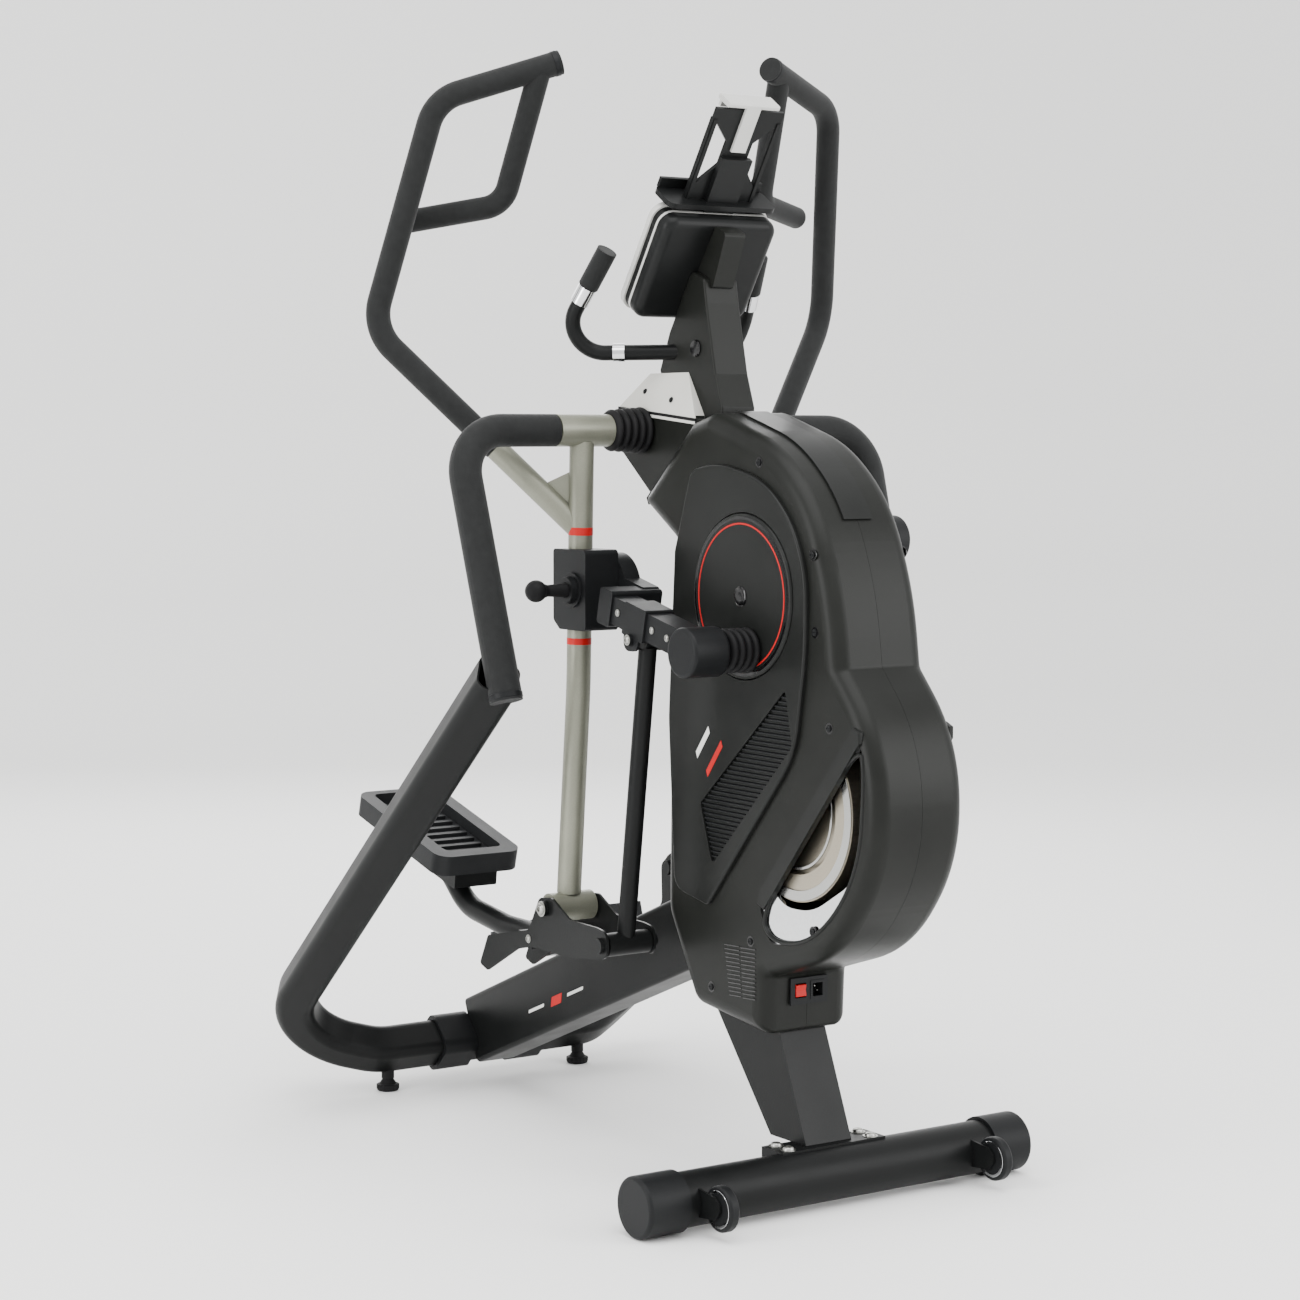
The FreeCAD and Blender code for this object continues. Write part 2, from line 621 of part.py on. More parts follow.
def cover_half():
    """Right-hand cover shell: open on the centre plane, window for the flywheel."""
    outer = prism(hood_corners(0), 0.2, COVER_HALF)
    rim = [e for e in outer.Edges if min(v.Point.x for v in e.Vertexes) > COVER_HALF - 0.01]
    outer = outer.makeFillet(COVER_EDGE_R, rim)
    inner = prism(hood_corners(COVER_WALL), -1, COVER_HALF - COVER_WALL)
    rim = [e for e in inner.Edges if min(v.Point.x for v in e.Vertexes) > COVER_HALF - COVER_WALL - 0.01]
    inner = inner.makeFillet(COVER_EDGE_R - COVER_WALL, rim)
    shell = outer.cut(inner)
    shell = shell.cut(rod_x(CRANK_Y, CRANK_Z, DISC_R + 3, 60, 100))
    shell = shell.cut(prism(WINDOW, 60, 100))
    shell = shell.cut(prism(post_corners(1.5), -1, 44))
    shell = shell.cut(block(-1, 31, 205, 300, 1068, 1142))
    shell = shell.cut(prism(neck_corners(), -1, NECK_X + GAP))
    shell = shell.cut(block(-1, 29, BOX_FRONT - 22, BOX_FRONT + 10, 292, 324))
    beam_cut = slanted_bar(BEAM_REAR, BEAM_FRONT, 2 * BEAM_HALF + 2, BEAM_H + 2, 8)
    return shell.cut(beam_cut)


COVER_EDGE_R = 26.0
WINDOW = [(708, 706, 9), (723, 654, 150), (708, 511, 214), (612, 404, 200), (500, 386, 24), (474, 438, 12)]


def side_panel_solid():
    """Raised blade-shaped panel with the crank disc's opening and a vent opening."""
    blade = [(262, 955, 20), (305, 1078, 26), (372, 1090, 190), (490, 1066, 180), (560, 1003, 175),
             (592, 930, 170), (592, 820, 500), (567, 672, 160), (516, 612, 40), (350, 424, 12),
             (262, 440, 30), (246, 700, 200)]
    panel = prism(blade, COVER_HALF, PANEL_OUT)
    rim = [e for e in panel.Edges if min(v.Point.x for v in e.Vertexes) > PANEL_OUT - 0.01]
    panel = panel.makeFillet(4, rim)
    panel = panel.cut(rod_x(CRANK_Y, CRANK_Z, DISC_R + 1.5, 80, 100))
    return panel.cut(prism(VENT, PANEL_OUT - 5, PANEL_OUT + 1))


VENT = [(546, 764, 4), (562, 682, 6), (364, 488, 6), (333, 578, 6)]


def side_panels():
    panel = side_panel_solid()
    return Part.makeCompound([panel, mirror_x(panel)])


def window_trims():
    """Bright bowl-shaped trim set in each window, behind the cover's wall."""
    x_low, x_high = COVER_HALF - COVER_WALL - 6, COVER_HALF - COVER_WALL
    outer = prism([(712, 500, 4), (612, 393, 190), (500, 374, 24), (462, 438, 8), (480, 500, 4)],
                  x_low, x_high)
    hole = prism([(700, 540, 6), (690, 500, 60), (598, 447, 120), (530, 446, 60), (494, 476, 8),
                  (520, 540, 8)], x_low - 1, x_high + 1)
    trim = outer.cut(hole).common(prism(hood_corners(COVER_WALL + 1), 0, COVER_HALF)).cut(cover_half())
    return Part.makeCompound([trim, mirror_x(trim)])


TOP_STRIP_HALF = 26.0


def top_cover():
    """Ridge strip along the top seam of the two halves."""
    crown = prism(hood_corners(-3), -TOP_STRIP_HALF, TOP_STRIP_HALF)
    core = prism(hood_corners(-0.2), -COVER_HALF, COVER_HALF)
    return crown.cut(core).common(block(-TOP_STRIP_HALF, TOP_STRIP_HALF, 330, 606, 1010, 1180))


def pivot_housing():
    """Painted box on the mast's head, between the cover and the arms' boots."""
    outer = prism([(40, 1120, 10), (50, 1176, 8), (281, 1153, 2), (149, 1033, 6)], -50, 50)
    inner = prism([(46, 1121, 8), (54, 1171, 6), (269, 1150, 2), (149, 1040, 4)], -46, 46)
    foot = Part.makePolygon([V(-50, 51, 1173), V(50, 51, 1173), V(50, 264, 1152), V(-50, 264, 1152),
                             V(-50, 51, 1173)])
    crest = Part.makePolygon([V(-31, 112, 1226), V(31, 112, 1226), V(31, 216, 1214), V(-31, 216, 1214),
                              V(-31, 112, 1226)])
    shell = outer.cut(inner).fuse(Part.makeLoft([foot, crest], True, True))
    slot = block(-32, 32, 205, 300, 1070, 1149)
    neck_room = prism(neck_corners(), -NECK_X - GAP, NECK_X + GAP)
    return shell.cut(slot).cut(neck_room).cut(rod_x(AXLE_Y, AXLE_Z, AXLE_R + 0.2, -60, 60))


def axle_boots():
    """Ribbed rubber sleeve on the axle between the housing and each arm's hub."""
    boot = rod_x(AXLE_Y, AXLE_Z, 30, 50, 56)
    for i in range(5):
        boot = boot.fuse(rod_x(AXLE_Y, AXLE_Z, 36 - 1.2 * i, 56 + 12 * i, 62 + 12 * i))
        boot = boot.fuse(rod_x(AXLE_Y, AXLE_Z, 31, 62 + 12 * i, min(68 + 12 * i, TEE_IN - GAP)))
    boot = boot.cut(rod_x(AXLE_Y, AXLE_Z, AXLE_R, 40, 120)).removeSplitter()
    return Part.makeCompound([boot, mirror_x(boot)])


def inlet_panel():
    """Power inlet and switch frame on the front of the lower box."""
    plate = block(-34, 34, BOX_FRONT, BOX_FRONT + 3, 288, 328)
    socket = block(-28, -2, BOX_FRONT - 18, BOX_FRONT + 4, 294, 322)
    hollow = block(-24, -6, BOX_FRONT - 14, BOX_FRONT + 5, 298, 318)
    window = block(6, 26, BOX_FRONT - 8, BOX_FRONT + 5, 298, 320)
    return plate.fuse(socket).cut(hollow).cut(window).removeSplitter()


BOX_FRONT = 484.6
SWITCH_Y = BOX_FRONT + 1.5
SWITCH_TILT = 8.0


def power_switch():
    """Rocker of the power switch."""
    return prism([(SWITCH_Y - 4, 300, 1.5), (SWITCH_Y + 4, 300, 1.5), (SWITCH_Y + 2, 309, 0.5),
                  (SWITCH_Y + 4, 318, 1.5), (SWITCH_Y - 4, 318, 1.5)], 7, 25)


def cover_screws():
    """Screws in the recesses of both cover halves."""
    spots = [(470, 1090), (600, 960), (606, 850), (640, 716), (604, 420), (452, 384), (352, 300)]
    screws = []
    for y, z in spots:
        head = rod_x(y, z, 5, COVER_HALF, COVER_HALF + 2)
        head = head.cut(block(COVER_HALF + 1, COVER_HALF + 3, y - 4, y + 4, z - 1, z + 1))
        screws += [head, mirror_x(head)]
    return Part.makeCompound(screws)


# ---------------------------------------------------------------- arms and pedals
HANDLE_POINTS = [V(ARM_X, AXLE_Y - 8, AXLE_Z - 152), V(422, AXLE_Y - 194, AXLE_Z + 156),
                 V(342, AXLE_Y - 134, AXLE_Z + 504), V(162, AXLE_Y - 62, AXLE_Z + 566)]


ARM_TOP = V(ARM_X, AXLE_Y, AXLE_Z - TEE_R + 8)
ARM_BEND = V(ARM_X, AXLE_Y - 11.0, 740.0)


def swing_arm():
    """Painted steel arm: hub on the axle, long lower tube, and handle socket."""
    hub = ring_x(AXLE_Y, AXLE_Z, TEE_R, BUSH_R + 0.05, TEE_IN, TEE_OUT)
    tube = bent_rod([ARM_TOP, ARM_BEND, V(ARM_X, TEE_LOW_Y - 2, TEE_LOW_Z + 22)], [900], ARM_R)
    foot = rod_x(TEE_LOW_Y, TEE_LOW_Z, 23, ARM_X - 38, ARM_X + 38)
    direction = (HANDLE_POINTS[1] - HANDLE_POINTS[0]).normalize()
    socket_low = HANDLE_POINTS[0]
    socket = Part.makeCylinder(SOCKET_R, SOCKET_LEN, socket_low, direction)
    up = V(0, 0, 1)
    normal = direction.cross(up).normalize()
    seat = HANDLE_POINTS[0] - normal * 2.5
    web_edge = Part.makePolygon([seat, seat + up * 95, seat + direction * 92, seat])
    web = Part.Face(web_edge).extrude(normal * 5)
    shape = hub.fuse(tube).fuse(foot).fuse(web).fuse(socket)
    bore = Part.makeCylinder(HANDLE_STEEL_R + GAP, SOCKET_LEN, socket_low + direction * SOCKET_FLOOR, direction)
    pin = rod_x(TEE_LOW_Y, TEE_LOW_Z, 8 + 0.05, ARM_X - 60, ARM_X + 60)
    axle_hole = rod_x(AXLE_Y, AXLE_Z, BUSH_R + 0.05, TEE_IN - 1, TEE_OUT + 1)
    return shape.cut(bore).cut(pin).cut(axle_hole).removeSplitter()


SOCKET_R = 18.0
SOCKET_FLOOR = 62.0                 # solid foot of the socket, below the handle tube's end
SOCKET_LEN = 178.0


def handle_line(inset):
    """Handle's centre line from inside the socket up to the tip."""
    direction = (HANDLE_POINTS[1] - HANDLE_POINTS[0]).normalize()
    tip_dir = (HANDLE_POINTS[3] - HANDLE_POINTS[2]).normalize()
    start = HANDLE_POINTS[0] + direction * (SOCKET_FLOOR + GAP)
    return [start, HANDLE_POINTS[1], HANDLE_POINTS[2], HANDLE_POINTS[3] - tip_dir * inset]


GRIP_JOIN = 0.84
BRANCH_STEP = 1.0                   # the second grip's tube is this much thinner
GRIP_POINTS = [V(223, AXLE_Y - 133, AXLE_Z + 350), V(358, AXLE_Y - 212, AXLE_Z + 322)]


def branch_line(inset):
    """Second grip: leaves the top run near its tip, drops, and turns back out."""
    join = HANDLE_POINTS[2] + (HANDLE_POINTS[3] - HANDLE_POINTS[2]) * GRIP_JOIN
    tail = (GRIP_POINTS[1] - GRIP_POINTS[0]).normalize()
    return [join, GRIP_POINTS[0], GRIP_POINTS[1] - tail * inset]


def handle_tube():
    """Steel core of the handle with its welded second grip."""
    main = bent_rod(handle_line(5), [75, 70], HANDLE_STEEL_R)
    branch = bent_rod(branch_line(5), [45], HANDLE_STEEL_R - BRANCH_STEP)
    return main.fuse(branch).removeSplitter()


def handle_foam():
    """Foam cover over the handle above its socket."""
    line = handle_line(0)
    direction = (line[1] - line[0]).normalize()
    line[0] = HANDLE_POINTS[0] + direction * (SOCKET_LEN + 1)
    main = bent_rod(line, [75, 70], HANDLE_FOAM_R)
    branch = bent_rod(branch_line(0), [45], HANDLE_FOAM_R - BRANCH_STEP)
    return main.fuse(branch).cut(handle_tube()).removeSplitter()


BOX_HALF_W = 30.0


def stride_box():
    """Sliding sleeve on the arm that carries the link's pivot; it sets the stride."""
    outline = [(-56, -48, 8), (-38, -62, 6), (36, -62, 8), (36, 62, 8), (-56, 62, 6)]
    body = prism([(BOX_Y + y, BOX_Z + z, r) for y, z, r in outline], ARM_X - BOX_HALF_W, ARM_X + BOX_HALF_W)
    tube = Part.makeCylinder(ARM_R + GAP, (ARM_TOP - ARM_BEND).Length, ARM_BEND, ARM_TOP - ARM_BEND)
    boss = rod_x(BOX_Y, BOX_Z, 21, ARM_X + BOX_HALF_W, ARM_X + BOX_HALF_W + 12)
    pivot = rod_x(BOX_Y, BOX_Z, 9, ARM_X - BOX_HALF_W - 30, ARM_X - BOX_HALF_W)
    knob_hole = rod_x(BOX_Y, BOX_Z, 6.1, ARM_X + BOX_HALF_W - 6, ARM_X + BOX_HALF_W + 14)
    return body.fuse(boss).fuse(pivot).cut(tube).cut(knob_hole).removeSplitter()


def stride_knob():
    """Spring pull-pin that locks the stride box; its ball is pulled outward."""
    x = ARM_X + BOX_HALF_W
    pin = rod_x(BOX_Y, BOX_Z, 6, x - 5, x + 30)
    stem = Part.makeCone(11, 9, 34, V(x + 12.5, BOX_Y, BOX_Z), X_AXIS)
    ball = Part.makeSphere(17, V(x + 66, BOX_Y, BOX_Z))
    neck = Part.makeCone(9, 13, 12, V(x + 46, BOX_Y, BOX_Z), X_AXIS)
    return pin.fuse(stem).fuse(neck).fuse(ball).removeSplitter()


LINK_IN = 104.0
LINK_X = (150.0, 192.0)
LINK_EYE_R = 56.0


def coupler_link():
    """Link from the stride box to the crank pin, with the pedal rod's bracket."""
    heading = math.atan2(PIN[1] - BOX_Z, PIN[0] - BOX_Y)
    reach = gap_between(PIN, BOX)

    def spot(along, across):
        dy, dz = rotate_yz(along, across, heading)
        return BOX_Y + dy, BOX_Z + dz

    def plate(rect, x_low, x_high, corner):
        a0, a1, c0, c1 = rect
        corners = [(*spot(a0, c0), corner), (*spot(a1, c0), corner), (*spot(a1, c1), corner), (*spot(a0, c1), corner)]
        return prism(corners, x_low, x_high)

    eye = rod_x(BOX_Y, BOX_Z, LINK_EYE_R, LINK_IN, ARM_X - BOX_HALF_W - GAP)
    cheek = plate((0, 104, -30, 30), LINK_IN, ARM_X - BOX_HALF_W - GAP, 6)
    yoke = plate((78, 112, -28, 28), LINK_IN, LINK_X[1] + 3, 6)
    bar = plate((100, reach - 8, -21, 21), LINK_X[0], LINK_X[1], 5)
    collar = plate((150, 206, -25, 25), LINK_X[0] - 4, LINK_X[1] + 4, 3)
    head = rod_x(PIN[0], PIN[1], 37, 152, 216)
    rim = [e for e in head.Edges if e.Curve.TypeId == "Part::GeomCircle"]
    head = head.makeFillet(6, rim)
    shape = eye.fuse(cheek).fuse(yoke).fuse(bar).fuse(collar).fuse(head)
    lug_along = (ROD_TOP_Y - BOX_Y) * math.cos(heading) + (ROD_TOP_Z - BOX_Z) * math.sin(heading)
    for x_low in (LINK_X[0] - 7, LINK_X[1] - 1):
        ear = prism([(*spot(lug_along - 20, -20), 1), (*spot(lug_along + 20, -20), 1),
                     (ROD_TOP_Y + 18, ROD_TOP_Z - 17, 14), (ROD_TOP_Y - 18, ROD_TOP_Z - 17, 14)],
                    x_low, x_low + 5)
        shape = shape.fuse(ear)
    shape = shape.cut(rod_x(BOX_Y, BOX_Z, 9.05, 90, ARM_X - BOX_HALF_W))
    return shape.cut(link_relief()).fuse(bolt_x(ROD_TOP_Y, ROD_TOP_Z, 5, 9, 5, LINK_X[0] - 7, LINK_X[1] + 4))


def link_relief():
    """Room between the bracket's ears for the pedal rod's eye."""
    return rod_x(ROD_TOP_Y, ROD_TOP_Z, 17, LINK_X[0] - 2, LINK_X[1] - 1)


def pedal_rod():
    """Straight rod with an eye at the link and a cross sleeve at the pedal arm."""
    top, low = V(ARM_X, ROD_TOP_Y, ROD_TOP_Z), V(ARM_X, ROD_LOW_Y, ROD_LOW_Z)
    along = (top - low).normalize()
    rod = Part.makeCylinder(ROD_R, (top - low).Length - 12, low, along)
    eye = rod_x(ROD_TOP_Y, ROD_TOP_Z, 15, ARM_X - 11, ARM_X + 11)
    sleeve = rod_x(ROD_LOW_Y, ROD_LOW_Z, 18, ARM_X - 38, ARM_X + 38)
    trim = rod_x(ROD_TOP_Y, ROD_TOP_Z, 16, ARM_X + 11, ARM_X + 40)
    trim = trim.fuse(rod_x(ROD_TOP_Y, ROD_TOP_Z, 16, ARM_X - 40, ARM_X - 11))
    shape = rod.cut(trim).fuse(eye).fuse(sleeve)
    shape = shape.cut(rod_x(ROD_TOP_Y, ROD_TOP_Z, 5.05, ARM_X - 60, ARM_X + 60))
    return shape.cut(rod_x(ROD_LOW_Y, ROD_LOW_Z, 9, ARM_X - 60, ARM_X + 60)).removeSplitter()


PLATE_T = 4.0
PLATE_GAP = 41.0


def pedal_arm():
    """Two side plates on the swinging arm's foot, and the tube out to the pedal."""
    outline = [(62, 408, 16), (98, 412, 16), (150, 385, 30), (226, 384, 14), (256, 380, 18), (256, 340, 16),
               (232, 336, 10), (150, 326, 10), (30, 326, 10), (-6, 316, 10), (-98, 268, 6), (-122, 276, 5),
               (-96, 326, 10), (30, 352, 20)]
    shape = None
    for x in (ARM_X - PLATE_GAP - PLATE_T, ARM_X + PLATE_GAP):
        plate = prism(outline, x, x + PLATE_T)
        shape = plate if shape is None else shape.fuse(plate)
    points = [V(ARM_X, 30, 334), V(ARM_X, -110, 334), V(ARM_X, -236, 350), V(ARM_X, -318, 418)]
    tube = bent_rod(points, [160, 110], 18)
    tie = block(ARM_X - PLATE_GAP, ARM_X + PLATE_GAP, -8, 34, 322, 346)
    stand = prism([(-372, 424, 4), (-212, 384, 4), (-208, 411, 4), (-368, 453, 4)], ARM_X - 40, ARM_X + 40)
    shape = shape.fuse(tie).fuse(tube).fuse(stand)
    low, high = ARM_X - PLATE_GAP - PLATE_T, ARM_X + PLATE_GAP + PLATE_T
    shape = shape.fuse(bolt_x(TEE_LOW_Y, TEE_LOW_Z, 8, 12, 7, low, high))
    for x_low, x_high in ((low - 7, low), (high, high + 7)):
        shape = shape.fuse(rod_x(ROD_LOW_Y, ROD_LOW_Z, 12, x_low, x_high))
    return shape.removeSplitter()


PEDAL_LEN = 300.0
PEDAL_W = 160.0
PEDAL_RIM = 34.0
PEDAL_Y = -198.0
PEDAL_Z = 409.0
PEDAL_TILT = -15.0


def pedal():
    """Moulded footplate: rounded tray with raised sides and tread ribs."""
    tray = block(-PEDAL_W / 2, PEDAL_W / 2, -PEDAL_LEN, 0, 0, PEDAL_RIM)
    upright = [e for e in tray.Edges if abs(e.Length - PEDAL_RIM) < 1e-6]
    tray = tray.makeFillet(26, upright)
    hollow = block(-PEDAL_W / 2 + 26, PEDAL_W / 2 - 26, -PEDAL_LEN + 14, -26, 14, PEDAL_RIM + 1)
    hollow = hollow.makeFillet(12, [e for e in hollow.Edges if abs(e.Length - (PEDAL_RIM - 13)) < 1e-6])
    tray = tray.cut(hollow)
    for i in range(9):
        y = -PEDAL_LEN + 42 + i * 25
        tray = tray.fuse(block(-44, 44, y, y + 8, 14, 20))
    tray.rotate(V(0, 0, 0), X_AXIS, PEDAL_TILT)
    tray.translate(V(ARM_X, PEDAL_Y, PEDAL_Z))
    return tray.removeSplitter()


# ---------------------------------------------------------------- console
NECK_X = 31.0
CONSOLE_TILT = 33.7


def console_neck():
    """Upright moulded neck that leans forward and carries the console."""
    neck = prism(neck_corners(), -NECK_X, NECK_X)
    rim = [e for e in neck.Edges if abs(abs(e.CenterOfMass.x) - NECK_X) < 0.01]
    neck = neck.makeFillet(3, rim)
    clip = prism([(214, 1368, 4), (262, 1352, 4), (296, 1432, 6), (270, 1446, 6)], -CLIP_HALF, CLIP_HALF)
    return neck.fuse(clip).cut(pulse_bar()).removeSplitter()


CLIP_HALF = 19.0


def neck_corners():
    return [(228, 1141, 3), (214, 1208, 4), (134, 1226, 6), (162, 1288, 10), (222, 1380, 10),
            (256, 1366, 8), (262, 1330, 8), (286, 1222, 8), (304, 1172, 4), (304, 1141, 3)]


def tilted(shape):
    """Turn a console piece from level to its lean and put it on the neck."""
    shape.rotate(V(0, 0, 0), X_AXIS, -CONSOLE_TILT)
    shape.translate(V(0, CONSOLE_Y, CONSOLE_Z))
    return shape


CONSOLE_Y, CONSOLE_Z = 184.0, 1404.0
CONSOLE_W, CONSOLE_H = 208.0, 176.0


def rounded_slab(width, height, y_low, y_high, corner):
    slab = block(-width / 2, width / 2, y_low, y_high, -height / 2, height / 2)
    return slab.makeFillet(corner, [e for e in slab.Edges if is_along_y(e)])


def console_housing():
    """Back shell of the console: a shallow tray that tapers to the neck."""
    slab = rounded_slab(CONSOLE_W, CONSOLE_H, 6, 46, 22)
    slab = slab.makeFillet(14, [e for e in slab.Edges if e.CenterOfMass.y > 45])
    hollow = rounded_slab(CONSOLE_W - 8, CONSOLE_H - 8, 4, 30, 18)
    shape = tilted(slab.cut(hollow))
    return shape.cut(console_neck())


BUTTON_SPOTS = ((-38.0, -62.0), (38.0, -62.0))


def console_face():
    """Front bezel with the display window and the keys' holes."""
    slab = rounded_slab(CONSOLE_W + 6, CONSOLE_H + 6, -6, 6, 24)
    slab = slab.makeFillet(3, [e for e in slab.Edges if e.CenterOfMass.y < -5.9])
    slab = slab.cut(rounded_slab(CONSOLE_W - 46, 96, -7, -3, 6).translate(V(0, 0, 18)))
    for x, z in BUTTON_SPOTS:
        slab = slab.cut(Part.makeCylinder(11 + GAP, 20, V(x, -10, z), V(0, 1, 0)))
    return tilted(slab)


def console_button(x, z):
    cap = Part.makeCylinder(11, 12, V(x, -9, z), V(0, 1, 0))
    cap = cap.makeFillet(1.5, [e for e in cap.Edges if e.CenterOfMass.y < -8.9])
    return tilted(cap)


def tablet_bracket():
    """Ledge with rounded ends and an open X-shaped back that holds a tablet."""
    ledge = block(-100, 100, -26, 30, 98, 106)
    ledge = ledge.makeFillet(14, [e for e in ledge.Edges if abs(e.Length - 8) < 1e-6])
    lip = block(-94, 94, -26, -20, 106, 122)
    back = block(-62, 62, 4, 10, 106, 258)
    for side in (-1, 1):
        hole = Part.makePolygon([V(side * 54, 3, 132), V(side * 54, 3, 234), V(side * 24, 3, 204),
                                 V(side * 24, 3, 166), V(side * 54, 3, 132)])
        back = back.cut(Part.Face(hole).extrude(V(0, 8, 0)))
    stem = block(-28, 28, 10, 20, 89, 180)
    shape = ledge.fuse(lip).fuse(back).fuse(stem)
    for side in (-1, 1):
        shape = shape.fuse(block(side * 58 - 3, side * 58 + 3, 0, 12, 106, 240))
    return tilted(shape.removeSplitter())


def tablet_clip():
    """Spring clip at the top of the tablet holder."""
    tongue = block(-13, 13, 10.5, 15, 190, 262)
    head = block(-46, 46, -18, 15, 262, 270)
    head = head.makeFillet(3, [e for e in head.Edges if abs(e.Length - 92) < 1e-6])
    lip = block(-40, 40, -20, -14, 250, 266)
    riser = block(-13, 13, 10.5, 15, 250, 266)
    return tilted(tongue.fuse(riser).fuse(head).fuse(lip).removeSplitter())


PULSE_Y, PULSE_Z = 196.0, 1258.0
PULSE_R = 12.0


def pulse_line(side):
    """Pulse handlebar: out of the neck, then up and forward along each side."""
    return [V(0, PULSE_Y, PULSE_Z), V(side * 176, PULSE_Y - 142, PULSE_Z - 2),
            V(side * 142, PULSE_Y - 38, PULSE_Z + 152)]


def pulse_bar():
    halves = [bent_rod(pulse_line(side), [48], PULSE_R) for side in (1, -1)]
    return halves[0].fuse(halves[1]).removeSplitter()


def pulse_grips():
    """Foam grips on the outer runs of the pulse handlebar."""
    return Part.makeCompound([sleeve_on(pulse_line(side)[1], pulse_line(side)[2], 0.66, 1.0, 16)
                              for side in (1, -1)])


def pulse_sensors():
    """Metal contact bands of the pulse sensor, two on each side."""
    bands = []
    for side in (1, -1):
        line = pulse_line(side)
        bands.append(sleeve_on(line[1], line[2], 0.50, 0.65, 14.5))
        bands.append(sleeve_on(line[0], line[1], 0.50, 0.58, 14.5))
    return Part.makeCompound(bands)


def sleeve_on(start, end, low, high, r):
    """Sleeve on a straight run of the pulse bar, between two shares of its length."""
    along = end - start
    base = start + along * low
    sleeve = Part.makeCylinder(r, along.Length * (high - low), base, along)
    return sleeve.cut(Part.makeCylinder(PULSE_R, along.Length * (high - low), base, along))


# ---------------------------------------------------------------- assembly
def mirrored(shape):
    return mirror_x(shape)


def build():
    """Every node of the machine, by name."""
    nodes = {
        "front_stabilizer": front_stabilizer(),
        "stabilizer_end_caps": stabilizer_caps(),
        "transport_wheel_right": transport_wheel(WHEEL_BRACKETS[0]),
        "transport_wheel_left": transport_wheel(WHEEL_BRACKETS[1]),
        "front_post": front_post(),
        "base_bolts": base_bolts(),
        "main_beam": main_beam(),
        "rear_sleeve": rear_sleeve(),
        "rear_frame_tube": rear_frame_tube(),
        "levelling_foot_right": levelling_foot(FOOT_X),
        "levelling_foot_left": levelling_foot(-FOOT_X),
        "handrail_tubes": handrails(),
        "handrail_foam": handrail_foam(),
        "mast": mast().fuse(brake_mount()).removeSplitter(),
        "bearings": bearings(),
        "crank_axle": crank_axle(),
        "crank_discs": crank_discs(),
        "crank_pin_boots": crank_pin_boots(),
        "crank_pulley": crank_pulley(),
        "drive_belt": drive_belt(),
        "flywheel": flywheel(),
        "brake_arm": brake_arm(),
        "right_cover": cover_half(),
        "side_panels": side_panels(),
        "window_trims": window_trims(),
        "top_cover": top_cover(),
        "pivot_housing": pivot_housing(),
        "axle_boots": axle_boots(),
        "inlet_panel": inlet_panel(),
        "power_switch": power_switch(),
        "cover_screws": cover_screws(),
        "console_neck": console_neck(),
        "console_housing": console_housing(),
        "console_face": console_face(),
        "tablet_bracket": tablet_bracket(),
        "tablet_clip": tablet_clip(),
        "pulse_bar": pulse_bar(),
        "pulse_grips": pulse_grips(),
        "pulse_sensors": pulse_sensors(),
    }
    nodes["left_cover"] = mirrored(nodes["right_cover"])
    for name, (x, z) in zip(("start_button", "stop_button"), BUTTON_SPOTS):
        nodes[name] = console_button(x, z)
    right_side = {
        "swing_arm": (swing_arm(), AXLE, AXLE, FAR["swing"]),
        "handle_tube": (handle_tube(), AXLE, AXLE, FAR["swing"]),
        "handle_foam": (handle_foam(), AXLE, AXLE, FAR["swing"]),
        "stride_box": (stride_box(), AXLE, AXLE, FAR["swing"]),
        "stride_knob": (stride_knob(), AXLE, AXLE, FAR["swing"]),
        "coupler_link": (coupler_link(), BOX, FAR["box"], FAR["link"]),
        "pedal_rod": (pedal_rod(), ROD_TOP, FAR["top"], FAR["rod"]),
        "pedal_arm": (pedal_arm(), TEE_LOW, FAR["tee"], FAR["arm"]),
        "pedal": (pedal(), TEE_LOW, FAR["tee"], FAR["arm"]),
    }
    for name, (shape, old, new, turn) in right_side.items():
        nodes["right_" + name] = shape
        nodes["left_" + name] = to_left(shape, old, new, turn)
    return nodes


def report(nodes):
    """Print the linkage's pivots and turns, for the record of the joints."""
    for label, spot in (("axle", AXLE), ("crank", CRANK), ("fly", (FLY_Y, FLY_Z)), ("brake", BRAKE_PIVOT),
                        ("box_r", BOX), ("top_r", ROD_TOP), ("low_r", ROD_LOW), ("tee_r", TEE_LOW),
                        ("box_l", FAR["box"]), ("top_l", FAR["top"]), ("low_l", FAR["low"]), ("tee_l", FAR["tee"])):
        print("pivot", label, round(spot[0] - ORIGIN_Y, 3), round(spot[1], 3))
    for label in ("swing", "link", "rod", "arm"):
        print("turn", label, round(math.degrees(FAR[label]), 4))
    box = Part.makeCompound(list(nodes.values())).BoundBox
    print("box", [round(v, 2) for v in (box.XMin, box.XMax, box.YMin, box.YMax, box.ZMin, box.ZMax)])


def main():
    os.makedirs("parts", exist_ok=True)
    nodes = build()
    for name, shape in nodes.items():
        shape.translate(V(0, -ORIGIN_Y, 0))
        if not shape.isValid():
            print("not valid:", name)
        shape.exportStep("parts/" + name + ".step")
    report(nodes)
    print(len(nodes), "nodes")


main()
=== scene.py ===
# %% [markdown]
# # A vertical climber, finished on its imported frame
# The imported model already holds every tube, cover and hinge at its real size. This lesson loads it, gives
# every part a finish that matches how the real one is made, and adds the small pieces that a plain model
# leaves out: bellows, louvres, bolts, grip ends, trim rings and the console's screen.

